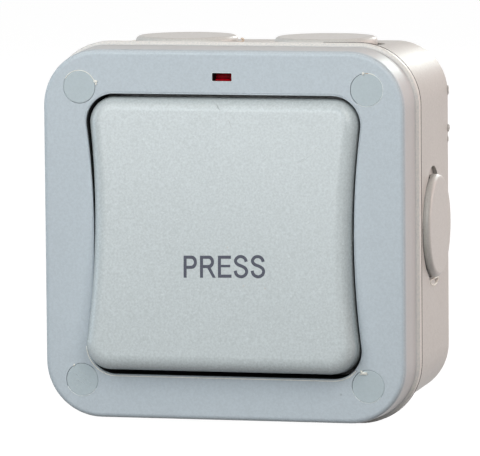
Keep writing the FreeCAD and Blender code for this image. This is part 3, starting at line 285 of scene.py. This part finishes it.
PLASTICS = {
    # name: colour, roughness, and what else differs from plain moulded plastic
    "cover_plastic": ((183, 191, 197), 0.42, {"marks": COVER_MARKS, "painted_light_bands": COVER_PAINTED_LIGHT}),
    "box_plastic": ((190, 188, 184), 0.4, {"grain": 0.7, "mottle": 0.025, "speck": 0.06}),
    "rocker_plastic": ((188, 194, 195), 0.24, {"grain": 0.2, "speck": 0.09, "marks": ROCKER_MARKS}),
    "cap_plastic": ((176, 186, 190), 0.45, {"grain": 0.3, "speck": 0.03}),
    "plug_plastic": ((194, 192, 188), 0.36, {"grain": 0.3, "marks": PLUG_MARKS}),
    # holder_plastic also colours the painted shade lining in the neon window.
    "holder_plastic": ((38, 24, 24), 0.5, {"specular": 0.1}),
    "resistor_body": ((178, 140, 96), 0.3, {}),
    "mechanism_plastic": ((214, 211, 202), 0.4, {}),
    "dolly_plastic": ((228, 227, 222), 0.35, {}),
    # The cream and pale edge colours are real flash and scratches on the nibs, nubs and a cap, and painted
    # highlights on the edge beads.
    "cream_flash_and_highlight": ((240, 237, 228), 0.4, {"grain": 0.2}),
    "pale_scratch_and_highlight": ((216, 221, 222), 0.42, {"grain": 0.2}),
    "flash_tan": ((204, 182, 162), 0.45, {"grain": 0.2}),
    "scuff_light": ((214, 219, 220), 0.4, {"grain": 0.2}),
    "scuff_dark": ((168, 172, 172), 0.4, {"grain": 0.2}),
}
METALS = {
    # name: colour and roughness
    "brass": ((206, 172, 108), 0.32),
    "contact_silver": ((214, 212, 206), 0.25),
    "screw_steel": ((190, 190, 186), 0.35),
    "spring_steel": ((168, 168, 166), 0.3),
}


def moulded_plastic(name, color, roughness, grain=0.4, mottle=0.012, speck=0.05, specular=0.5,
                    marks=(), painted_light_bands=()):
    """Spark-eroded plastic: a close grain, faint cloudy colour, uneven gloss, small marks, and painted light set
    in along Y.
    """
    nodes = Surface(name)
    cloud = nodes.spread(nodes.noise(CLOUD_SCALE, 4, 0.55), 0.0, 1.0)
    fine = nodes.noise(FINE_SCALE, 3, 0.6)
    coarse = nodes.noise(COARSE_SCALE, 2, 0.5)
    darker, lighter = (
        nodes.mix(cloud, shade(color, level - mottle), shade(color, level + mottle))
        for level in (1 - speck, 1 + speck))
    tone = nodes.mix(nodes.spread(fine, 0.0, 1.0, cut=0.35), darker, lighter)
    for point, radius, strength, mark_color in marks:
        near = nodes.ramp(nodes.distance(point), radius * 0.4 * MM, radius * MM, strength, 0.0)
        tone = nodes.mix(near, tone, linear(*mark_color))
    # Painted light: colours set in along Y paint warm light on the sides and a highlight on the lip.
    for start, end, strength, painted_light_color in painted_light_bands:
        near = nodes.ramp(nodes.depth(), start * MM, end * MM, 0.0, strength)
        uneven = nodes.ramp(fine, 0.35, 0.6, 0.6, 1.0)
        tone = nodes.mix(nodes.math("MULTIPLY", near, uneven), tone, linear(*painted_light_color))
    rough = nodes.spread(coarse, roughness - 0.04, roughness + 0.04)
    height = nodes.math("ADD", fine, coarse)
    return nodes.finish(tone, rough, height, bump=grain, relief=0.04, rounding=0.2,
                        specular=specular)


def metal(name, color, roughness):
    nodes = Surface(name)
    brushed = nodes.noise(400, 6, 0.6)
    tone = nodes.mix(nodes.spread(brushed, 0.0, 1.0), shade(color, 0.85), shade(color, 1.05))
    rough = nodes.spread(brushed, roughness - 0.08, roughness + 0.08)
    return nodes.finish(tone, rough, brushed, bump=0.2, relief=0.02, rounding=0.1, metallic=1.0)


def rubber(name, color):
    nodes = Surface(name)
    fine = nodes.noise(1500, 3, 0.6)
    tone = nodes.mix(nodes.spread(fine, 0.0, 1.0), shade(color, 0.85), shade(color, 1.15))
    rough = nodes.spread(fine, 0.6, 0.75)
    return nodes.finish(tone, rough, fine, bump=0.4, relief=0.04, specular=0.2)


def ink(name, color):
    """Pad-printed ink with a little unevenness at its scale."""
    nodes = Surface(name)
    fine = nodes.noise(1800, 3, 0.6)
    tone = nodes.mix(nodes.spread(fine, 0.0, 1.0), shade(color, 0.82), shade(color, 1.2))
    rough = nodes.spread(fine, 0.45, 0.6)
    return nodes.finish(tone, rough, fine, bump=0.3, relief=0.02, specular=0.3)


def lens(name, dark, light):
    """A moulded lens with flow marks in its colour."""
    nodes = Surface(name)
    swirl = nodes.noise(900, 3, 0.6)
    tone = nodes.mix(nodes.spread(swirl, 0.0, 1.0, cut=0.35), dark, light)
    rough = nodes.spread(swirl, 0.3, 0.42)
    return nodes.finish(tone, rough, swirl, bump=0.35, relief=0.06, rounding=0.2, specular=0.06)


def clear_glass(name):
    nodes = Surface(name)
    smear = nodes.noise(300, 2, 0.5)
    tone = nodes.mix(nodes.spread(smear, 0.0, 1.0), (0.95, 0.93, 0.9, 1.0), (1.0, 0.98, 0.95, 1.0))
    rough = nodes.spread(smear, 0.02, 0.06)
    return nodes.finish(tone, rough, glass=0.9)


def make_materials():
    made = {
        # seal_rubber also blackens the painted shade in the rocker's gap, behind the cover's lip and under the
        # right plug.
        "seal_rubber": rubber("seal_rubber", linear(16, 17, 18)),
        # neon_red also colours the painted red reflection on the neon window's lower wall.
        "neon_red": lens("neon_red", linear(112, 1, 12), linear(186, 5, 28)),
        "lamp_glass": clear_glass("lamp_glass"),
        "print_ink": ink("print_ink", linear(74, 76, 88)),
    }
    for name, (color, roughness, more) in PLASTICS.items():
        made[name] = moulded_plastic(name, linear(*color), roughness, **more)
    for name, (color, roughness) in METALS.items():
        made[name] = metal(name, linear(*color), roughness)
    return made


def dress_nodes():
    for part in frame["record"]["subparts"]:
        node = frame["nodes"][part["node"]]
        node.data.materials.clear()
        node.data.materials.append(materials[part["material_slot"]])


# Pieces

def add_piece(name, data, material, body="enclosure", place=None):
    piece = bpy.data.objects.new(name, data)
    data.materials.append(materials[material])
    if place is not None:
        piece.matrix_world = place
    bpy.context.scene.collection.objects.link(piece)
    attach(piece, body)


def mesh_from(shape, name, smooth=False):
    mesh = bpy.data.meshes.new(name)
    bmesh.ops.recalc_face_normals(shape, faces=shape.faces)
    shape.to_mesh(mesh)
    shape.free()
    for face in mesh.polygons:
        face.use_smooth = smooth
    return mesh


def nub(name, place, size, lean, material):
    """A small rough leaving of the moulding: its place, half sizes and lean in the XZ plane."""
    shape = bmesh.new()
    bmesh.ops.create_icosphere(shape, subdivisions=3, radius=1.0)
    turn = Matrix.Rotation(math.radians(lean), 3, "Y")
    seed = Vector(place)
    for vertex in shape.verts:
        rough = noise.noise(vertex.co * 1.3 + seed) + 0.5 * noise.noise(vertex.co * 3.1 + seed)
        point = vertex.co * (1 + 0.45 * rough)
        sized = Vector((point.x * size[0], point.y * size[1], point.z * size[2]))
        vertex.co = (turn @ sized + seed) * MM
    add_piece(name, mesh_from(shape, name, smooth=True), material)


def bead(name, points, radius, material, closed=False, body="enclosure"):
    """A thin raised bead along points."""
    curve = bpy.data.curves.new(name, "CURVE")
    curve.dimensions = "3D"
    curve.bevel_depth = radius * MM
    curve.bevel_resolution = 2
    curve.use_fill_caps = not closed
    spline = curve.splines.new("POLY")
    spline.points.add(len(points) - 1)
    for target, point in zip(spline.points, points):
        target.co = (point[0] * MM, point[1] * MM, point[2] * MM, 1)
    spline.use_cyclic_u = closed
    add_piece(name, curve, material, body)


def at_depth(outline, depth):
    """An outline in the cover's plane as points at a depth."""
    return [(across, depth, up) for across, up in outline]


def on_rocker(across, up, proud):
    """A point on the rocker's face, or so far proud of it."""
    return (ROCKER_PIVOT + ROCKER_OUTWARD * (ROCKER_FACE + proud) + ROCKER_UPWARD * up
            + Vector((across, 0, 0)))


# Outlines, as (across, up)

def arc_points(centre, radii, start, end, steps):
    """Points on an ellipse's arc."""
    points = []
    for step in range(steps + 1):
        angle = math.radians(start + (end - start) * step / steps)
        points.append((centre[0] + radii[0] * math.cos(angle),
                       centre[1] + radii[1] * math.sin(angle)))
    return points


def smooth_line(points, steps):
    """Catmull-Rom points through the given ones."""
    ends = [points[0]] + list(points) + [points[-1]]
    line = []
    for first, start, end, last in zip(ends, ends[1:], ends[2:], ends[3:]):
        a, b, c, d = (Vector(p) for p in (first, start, end, last))
        for step in range(steps):
            t = step / steps
            line.append((b * 2 + (c - a) * t + (a * 2 - b * 5 + c * 4 - d) * t ** 2
                         + (b * 3 - a - c * 3 + d) * t ** 3) / 2)
    line.append(Vector(points[-1]))
    return line


def rounded_outline(half_width, half_height, corner, middle=0, steps=6):
    """A rounded rectangle, its middle so far up."""
    outline = []
    for side, level, start in ((1, 1, 0), (-1, 1, 90), (-1, -1, 180), (1, -1, 270)):
        centre = (side * (half_width - corner), middle + level * (half_height - corner))
        outline += arc_points(centre, (corner, corner), start, start + 90, steps)
    return outline


def window_outline(inset, corner):
    return rounded_outline(WINDOW_HALF_WIDTH - inset, WINDOW_HALF_HEIGHT - inset, corner,
                           WINDOW_MIDDLE)


def opening_outline(inset, steps=20):
    """The rocker's opening moved inwards, with its long sides curving in."""
    half_waist = OPENING_HALF_WAIST - inset
    half_height = OPENING_HALF_HEIGHT - inset
    side_radius = OPENING_SIDE_RADIUS + inset
    corner = OPENING_CORNER - inset
    centre = half_waist + side_radius
    corner_up = half_height - corner
    reach = side_radius + corner
    corner_across = centre - math.sqrt(reach ** 2 - corner_up ** 2)
    lean = math.degrees(math.asin(corner_up / reach))
    quarter = arc_points((centre, 0), (side_radius, side_radius), 180, 180 - lean, steps)
    quarter += arc_points((corner_across, corner_up), (corner, corner), -lean, 90, steps)[1:]
    half = quarter + [(-x, z) for x, z in reversed(quarter)]
    return half[:-1] + [(-x, -z) for x, z in half[:-1]]


def ring_between(outer, inner, front, rear):
    """A closed ring between two outlines, from a front to a rear depth."""
    shape = bmesh.new()
    loops = []
    for outline, depth in ((outer, front), (inner, front), (inner, rear), (outer, rear)):
        loops.append([shape.verts.new((x * MM, depth * MM, z * MM)) for x, z in outline])
    for first, second in zip(loops, loops[1:] + loops[:1]):
        for index in range(len(outer)):
            following = (index + 1) % len(outer)
            shape.faces.new((first[index], first[following], second[following], second[index]))
    return shape


# Lettering: flat outlines, each from its letter's lower left

LETTER_HEIGHT = 5.31
STROKE = 0.76
BAR = 0.77
LETTER_STARTS = {"P": (0.0,), "R": (4.07,), "E": (8.52,), "S": (12.43, 16.62)}
TEXT_START = (-8.67, -10.5)
TEXT_LEAN = 1.05
PRINT_THICKNESS = 0.02

P_BOWL_LOW = LETTER_HEIGHT - 3.19
R_BOWL_LOW = LETTER_HEIGHT - 3.01
P_FOOT = [(0, 0), (STROKE, 0), (STROKE, P_BOWL_LOW)]
R_FOOT = [(0, 0), (STROKE, 0), (STROKE, R_BOWL_LOW), (1.82, R_BOWL_LOW), (3.15, 0), (3.91, 0),
          (2.66, R_BOWL_LOW + 0.06)]
E_MIDDLE = LETTER_HEIGHT - 2.5
E_MIDDLE_HALF_BAR = 0.31
E_ARMS = (3.37, 3.05, 3.22)
S_LINE = [
    (3.10, 3.82), (2.86, 4.48), (2.34, 4.93), (1.72, 5.08), (1.04, 4.92), (0.55, 4.40),
    (0.46, 3.98), (0.72, 3.42), (1.36, 3.02), (2.18, 2.70), (2.90, 2.22), (3.20, 1.50),
    (2.96, 0.80), (2.42, 0.38), (1.80, 0.24), (1.08, 0.46), (0.60, 0.94), (0.36, 1.70),
]


def bowl(right, top, bottom, round_across):
    """The right side of a bowl, from its top to its bottom."""
    middle, half = (top + bottom) / 2, (top - bottom) / 2
    return arc_points((right - round_across, middle), (round_across, half), 90, -90, 14)


def bowled_letter(foot, right, low, outer_round, inner_round, skip=0):
    """P or R: the outline of what stands below the bowl, then the bowl and its inside. Skip
    leaves out the bowl's lowest points, where the leg takes over."""
    top = LETTER_HEIGHT
    outer = foot + bowl(right, top, low, outer_round)[::-1][skip:] + [(0, top)]
    inner = ([(STROKE, top - BAR)] + bowl(right - STROKE, top - BAR, low + BAR, inner_round)
             + [(STROKE, low + BAR)])
    return [outer, inner]


def letter_e():
    foot, middle, head = E_ARMS
    low, high, top = E_MIDDLE - E_MIDDLE_HALF_BAR, E_MIDDLE + E_MIDDLE_HALF_BAR, LETTER_HEIGHT
    return [[
        (0, 0), (foot, 0), (foot, BAR), (STROKE, BAR), (STROKE, low), (middle, low),
        (middle, high), (STROKE, high), (STROKE, top - BAR), (head, top - BAR), (head, top),
        (0, top),
    ]]


def letter_s():
    line = smooth_line(S_LINE, 4)
    left, right = [], []
    for index, point in enumerate(line):
        ahead = line[min(index + 1, len(line) - 1)] - line[max(index - 1, 0)]
        side = Vector((-ahead.y, ahead.x)).normalized() * STROKE / 2
        left.append(tuple(point + side))
        right.append(tuple(point - side))
    return [left + right[::-1]]


def print_lettering():
    """The word PRESS, printed flat on the rocker's face."""
    curve = bpy.data.curves.new("print_press", "CURVE")
    curve.dimensions = "2D"
    curve.fill_mode = "BOTH"
    curve.extrude = PRINT_THICKNESS * MM
    turn = Matrix.Rotation(math.radians(TEXT_LEAN), 2)
    shapes = {
        "P": bowled_letter(P_FOOT, 3.32, P_BOWL_LOW, 1.3, 0.75),
        "R": bowled_letter(R_FOOT, 3.5, R_BOWL_LOW, 1.25, 0.7, skip=2),
        "E": letter_e(),
        "S": letter_s(),
    }
    for letter, starts in LETTER_STARTS.items():
        for start in starts:
            for outline in shapes[letter]:
                spline = curve.splines.new("POLY")
                spline.points.add(len(outline) - 1)
                for target, (across, up) in zip(spline.points, outline):
                    point = turn @ Vector((across + start, up)) + Vector(TEXT_START)
                    target.co = (point.x * MM, point.y * MM, 0, 1)
                spline.use_cyclic_u = True
    axes = Matrix((Vector((1, 0, 0)), ROCKER_UPWARD, ROCKER_OUTWARD)).transposed().to_4x4()
    place = ROCKER_PIVOT + ROCKER_OUTWARD * (ROCKER_FACE + PRINT_THICKNESS / 2)
    add_piece("print_press", curve, "print_ink", "rocker",
              Matrix.Translation(place * MM) @ axes)


# Edges in the cover, with painted shade, highlights and reflection

def gap_shade_lining():
    """A black lining in the gap round the rocker: painted shade in the gap."""
    shape = ring_between(opening_outline(0.02), opening_outline(0.14), FACE_Y + 0.8, FACE_Y + 8.5)
    mesh = mesh_from(shape, "gap_shade_lining", smooth=True)
    add_piece("gap_shade_lining", mesh, "seal_rubber")


def neon_window_shade():
    """A thin dark lining on the neon window's walls: painted shade in the window."""
    outer, inner = window_outline(0.01, corner=0.24), window_outline(0.11, corner=0.16)
    shape = ring_between(outer, inner, FACE_Y + 0.3, FACE_Y + WINDOW_DEPTH - 0.02)
    add_piece("neon_window_shade", mesh_from(shape, "neon_window_shade"), "holder_plastic")


def neon_wall_reflection():
    """A red wedge along the lower wall of the neon window: painted reflection of the red lens on that wall."""
    half = WINDOW_HALF_WIDTH - 0.13
    bottom = WINDOW_MIDDLE - WINDOW_HALF_HEIGHT + 0.12
    rear = FACE_Y + WINDOW_DEPTH - 0.03
    profile = [(FACE_Y + 0.9, bottom), (FACE_Y + 1.2, bottom + 0.3), (rear, bottom + 0.5),
               (rear, bottom)]
    shape = bmesh.new()
    left, right = (
        [shape.verts.new((x * MM, y * MM, z * MM)) for y, z in profile] for x in (0.5 - half, half))
    for index in range(len(profile)):
        following = (index + 1) % len(profile)
        shape.faces.new((left[index], left[following], right[following], right[index]))
    shape.faces.new(left)
    shape.faces.new(right[::-1])
    add_piece("neon_wall_reflection", mesh_from(shape, "neon_wall_reflection"), "neon_red")


def opening_edges_and_highlights():
    """The rolled edge of the rocker's opening, with a painted highlight along its lower part below the rocker and
    a painted highlight round the neon window.
    """
    bead("opening_edge", at_depth(opening_outline(-0.1), FACE_Y + 0.1), 0.13, "cover_plastic",
         closed=True)
    # Painted highlight: a pale line along the opening's lower edge, below the rocker.
    left_end, right_end, turn_about = -27, -31.5, -15
    lower = [point for point in opening_outline(-0.4)
             if point[1] < (left_end if point[0] < 0 else right_end)]
    lower.sort(key=lambda point: math.atan2(point[1] - turn_about, point[0]))
    bead("opening_edge_highlight", at_depth(lower, FACE_Y + 0.06), 0.13, "cream_flash_and_highlight")
    # Painted highlight: a pale line round the neon window.
    bead("window_edge_highlight", at_depth(window_outline(-0.05, corner=0.28), FACE_Y + 0.06), 0.09,
         "pale_scratch_and_highlight", closed=True)


def cover_edge_highlight():
    """A pale line along the front edge of the cover: painted highlight where the edge catches light from above."""
    outline = rounded_outline(EDGE_HALF, EDGE_HALF, EDGE_CORNER, steps=24)
    bead("cover_edge_highlight", at_depth(outline, FACE_Y + 0.45), 0.22, "pale_scratch_and_highlight",
         closed=True)


def lip_shadow_line():
    """A thin dark line behind the cover's lip on the right: painted shadow under the lip."""
    half, corner, left_end = COVER_HALF - 0.02, COVER_CORNER - 0.02, 22
    middle = half - corner
    outline = [(left_end, half)]
    outline += arc_points((middle, middle), (corner, corner), 90, 0, 24)
    outline += arc_points((middle, -middle), (corner, corner), 0, -90, 24)
    outline += [(left_end, -half)]
    bead("lip_shadow_line", at_depth(outline, COVER_REAR + 0.09), 0.11, "seal_rubber")


# Leavings of the moulding, with painted highlights and a painted shadow

NIB_Y = FACE_Y - 0.02
CAP_NIBS = {
    # name: place, half sizes, lean and material
    "nib_top_left": ((-31.45, NIB_Y, 36.95), (0.5, 0.34, 0.42), 20, "cream_flash_and_highlight"),
    "nib_top_left_tail": ((-31.35, NIB_Y, 36.35), (0.26, 0.26, 0.3), 0, "cream_flash_and_highlight"),
    "nib_top_right": ((34.8, NIB_Y, 39.5), (0.36, 0.3, 0.3), 100, "cream_flash_and_highlight"),
    "nib_top_right_tail": ((35.7, NIB_Y + 0.08, 39.53), (0.6, 0.12, 0.09), 4, "flash_tan"),
    "nib_bottom_left": ((-37.62, NIB_Y, -32.1), (0.3, 0.26, 0.2), 120, "cream_flash_and_highlight"),
    "nib_bottom_right": ((34.6, NIB_Y, -32.4), (0.85, 0.4, 0.34), 8, "cream_flash_and_highlight"),
    "nib_bottom_right_spike": ((34.0, NIB_Y, -32.05), (0.24, 0.3, 0.42), -35, "cream_flash_and_highlight"),
    "nib_bottom_right_tail": ((33.85, NIB_Y, -32.65), (0.4, 0.3, 0.18), -20, "cream_flash_and_highlight"),
}
CAP_RIMS_AND_HIGHLIGHTS = {
    # cap: its side and level, then spans of its edge from +X with the material that fills them
    # The spans in pale materials are painted highlights where the edge catches light.
    "top_left": (-1, 1, ((22, 150, "cream_flash_and_highlight"), (150, 245, "cap_plastic"))),
    "top_right": (1, 1, ((-125, 60, "pale_scratch_and_highlight"), (60, 84, "cream_flash_and_highlight"))),
    "bottom_left": (-1, -1, ((205, 330, "pale_scratch_and_highlight"), (330, 400, "cap_plastic"))),
    "bottom_right": (1, -1, ((190, 320, "pale_scratch_and_highlight"), (320, 440, "cap_plastic"))),
}
BOX_NUBS = {
    # name: place, half sizes, lean and material, beside the top plugs, along the box's rear
    # edge, and in the notch under the right plug
    "flash_top_far_left": ((-31.0, ENTRY_Y, 44.3), (0.8, 0.6, 0.3), 8, "cream_flash_and_highlight"),
    "flash_top_right": ((4.2, ENTRY_Y, 44.25), (1.0, 0.8, 0.4), 0, "cream_flash_and_highlight"),
    "flash_rear_upper": ((43.9, -0.8, 31.8), (0.3, 0.5, 1.1), 0, "box_plastic"),
    "flash_rear_middle": ((43.95, -0.8, 22.4), (0.42, 0.5, 0.9), 0, "box_plastic"),
    "flash_rear_lower": ((43.9, -0.8, 19.6), (0.2, 0.4, 0.7), 0, "box_plastic"),
    "notch_fill": ((43.8, -19.2, -14.0), (0.34, 5.4, 1.7), 0, "box_plastic"),
}
TOP_CURL = [(-5.6, 44.15), (-4.7, 44.35), (-3.9, 44.45), (-3.3, 44.85), (-3.45, 45.3),
            (-3.9, 45.2)]
NOTCH_MIDDLE = (-19.1, -13.25)
NOTCH_HALF_WIDTH = 4.5


def cap_nibs():
    """Gate nibs left at the edges of the four caps, each on its own side."""
    for name, (place, size, lean, material) in CAP_NIBS.items():
        nub(name, place, size, lean, material)


def cap_rims_and_highlights():
    """Beads on the edge round each cap: in cap plastic they close parts of the fine gap, in the pale materials
    they are painted highlights.
    """
    for cap, (side, level, spans) in CAP_RIMS_AND_HIGHLIGHTS.items():
        for index, (start, end, material) in enumerate(spans):
            outside, thickness = (0.04, 0.06) if material == "cap_plastic" else (0.07, 0.1)
            radius = CAP_RADIUS + outside
            arc = arc_points((side * CAP_AT, level * CAP_AT), (radius, radius), start, end, 30)
            bead("cap_rim_%s_%d" % (cap, index), at_depth(arc, FACE_Y + 0.03), thickness,
                 material)


def entry_flash():
    """Flash at the entries and along the box's rear edge, and a painted highlight round the notch under the right
    plug.
    """
    bead("flash_top_left", at_depth(smooth_line(TOP_CURL, 5), ENTRY_Y), 0.24, "flash_tan")
    for name, (place, size, lean, material) in BOX_NUBS.items():
        nub(name, place, size, lean, material)
    # Painted highlight: a pale bead round the notch's rim.
    rim = arc_points(NOTCH_MIDDLE, (NOTCH_HALF_WIDTH, 1.5), 180, 360, 14)
    rim += arc_points(NOTCH_MIDDLE, (NOTCH_HALF_WIDTH, 0.1), 0, 180, 6)[1:-1]
    bead("notch_rim_highlight", [(BOX_SIDE + 0.27, depth, up) for depth, up in rim], 0.2, "cream_flash_and_highlight",
         closed=True)


def plug_shadow():
    """A black line under the right plug's head, wider low on its front side: painted shadow in the gap there."""
    for name, start, end, thickness in (("plug_shadow", -62, 72, 0.2), ("plug_shadow_low", -52, 2, 0.34)):
        arc = arc_points((0, 0), (12.78, 12.78), start, end, 30)
        points = [(BOX_SIDE + 0.16, ENTRY_Y - forward, up) for forward, up in arc]
        bead(name, points, thickness, "seal_rubber")


# Wear

ROCKER_SCUFF = [(13.6, 17.2), (16.5, 17.4), (19.6, 17.9), (22.0, 19.2), (24.0, 21.3)]
ROCKER_SCRATCHES = [((-1.2, 31.2), (-0.4, 29.8)), ((1.9, 27.4), (2.6, 25.6))]
CAP_SCRATCHES = [
    ((-38.6, -33.6), (-33.0, -36.6)), ((-37.4, -35.4), (-33.4, -37.5)),
    ((-38.2, -36.4), (-35.6, -37.8)), ((-36.8, -33.4), (-33.8, -34.9)),
]


def handling_marks():
    """Scuffs and fine scratches on the rocker and on the lower left cap."""
    scuff = [on_rocker(x, z, -0.02) for x, z in smooth_line(ROCKER_SCUFF, 5)]
    bead("scuff_rocker", scuff, 0.07, "scuff_light", body="rocker")
    for index, line in enumerate(ROCKER_SCRATCHES):
        bead("scratch_rocker_%d" % index, [on_rocker(x, z, -0.03) for x, z in line], 0.06,
             "scuff_dark", body="rocker")
    for index, line in enumerate(CAP_SCRATCHES):
        bead("scratch_cap_%d" % index, at_depth(line, FACE_Y + 0.01), 0.03, "pale_scratch_and_highlight")


# Studio

WHITE = (1.0, 1.0, 1.0, 1.0)
AMBIENT = 0.01
AMBIENT_COLOR = (0.95, 0.97, 1.0, 1.0)
FLOOR_REACH_METRES = 4.0
FLOOR_GREY = 0.13
FLOOR_GLOW = 0.985
LIGHTS = {
    # name: place and size in metres, watts and linear colour
    "sheen": ((-0.128, -0.557, 0.18), (0.4, 0.25), 1.45, (0.95, 0.98, 1)),
    "above_left": ((-0.35, -0.6, 0.6), (0.4, 0.4), 1.4, (1, 0.97, 0.92)),
    "above_right": ((0.4, -0.6, 0.6), (0.4, 0.4), 2.2, (1, 0.97, 0.92)),
    "low_right": ((0.55, -0.85, 0.3), (0.5, 0.3), 1.9, (0.96, 0.99, 1)),
    "high_front": ((0.0, -0.8, 0.5), (0.6, 0.4), 0.7, (0.6, 0.87, 1)),
    "side_left": ((-0.9, -0.1, 0.15), (0.5, 0.5), 1.6, (0.65, 0.85, 1)),
    "right_back": ((0.8, 0.5, 0.2), (0.7, 0.7), 6.1, (1, 0.785, 0.72)),
    "back_glow": ((0.10, 1.0, 0.25), (0.35, 0.2), 0.3, (1, 0.93, 0.87)),
    "corner": ((0.27, 1.0, 0.46), (0.3, 0.25), 2.4, (0.88, 1, 0.98)),
    "top_back": ((0.0, 0.4, 0.8), (0.8, 0.5), 0.9, (1, 0.6, 0.42)),
}


def make_world():
    """White where it is seen, faint where it lights the switch."""
    world = bpy.data.worlds.new("studio")
    bpy.context.scene.world = world
    nodes = Nodes(world, "ShaderNodeOutputWorld")
    mix = nodes.add("ShaderNodeMixShader")
    nodes.link(nodes.seen(), mix.inputs[0])
    for socket, color, strength in ((1, AMBIENT_COLOR, AMBIENT), (2, WHITE, 1.0)):
        background = nodes.add("ShaderNodeBackground")
        background.inputs["Color"].default_value = color
        background.inputs["Strength"].default_value = strength
        nodes.link(background.outputs[0], mix.inputs[socket])
    nodes.link(mix.outputs[0], nodes.surface)


def make_lights():
    middle = Vector((0, FACE_Y * MM, 0))
    for name, (place, size, watts, color) in LIGHTS.items():
        data = bpy.data.lights.new(name, "AREA")
        data.shape = "RECTANGLE"
        data.size, data.size_y = size
        data.energy = watts
        data.color = color
        lamp = bpy.data.objects.new(name, data)
        lamp.location = place
        lamp.rotation_euler = (middle - Vector(place)).to_track_quat("-Z", "Y").to_euler()
        bpy.context.scene.collection.objects.link(lamp)


def make_floor():
    """A plain white floor that keeps a soft shadow of the switch."""
    mesh = bpy.data.meshes.new("floor")
    corners = [(side * FLOOR_REACH_METRES, depth * FLOOR_REACH_METRES, FLOOR_Z * MM)
               for side, depth in ((-1, -1), (1, -1), (1, 1), (-1, 1))]
    mesh.from_pydata(corners, [], [(0, 1, 2, 3)])
    floor = bpy.data.objects.new("floor", mesh)
    bpy.context.scene.collection.objects.link(floor)
    nodes = Surface("floor_white")
    diffuse = nodes.add("ShaderNodeBsdfDiffuse")
    diffuse.inputs["Color"].default_value = (FLOOR_GREY, FLOOR_GREY, FLOOR_GREY, 1)
    glow = nodes.add("ShaderNodeEmission")
    glow.inputs["Color"].default_value = WHITE
    nodes.link(nodes.math("MULTIPLY", nodes.seen(), FLOOR_GLOW), glow.inputs["Strength"])
    both = nodes.add("ShaderNodeAddShader")
    nodes.link(diffuse.outputs[0], both.inputs[0])
    nodes.link(glow.outputs[0], both.inputs[1])
    nodes.link(both.outputs[0], nodes.surface)
    mesh.materials.append(nodes.owner)


make_camera()
materials = make_materials()
dress_nodes()
print_lettering()
gap_shade_lining()
neon_window_shade()
neon_wall_reflection()
cap_nibs()
cap_rims_and_highlights()
opening_edges_and_highlights()
cover_edge_highlight()
lip_shadow_line()
handling_marks()
plug_shadow()
entry_flash()
make_world()
make_lights()
make_floor()
bpy.context.scene.view_settings.view_transform = "Standard"
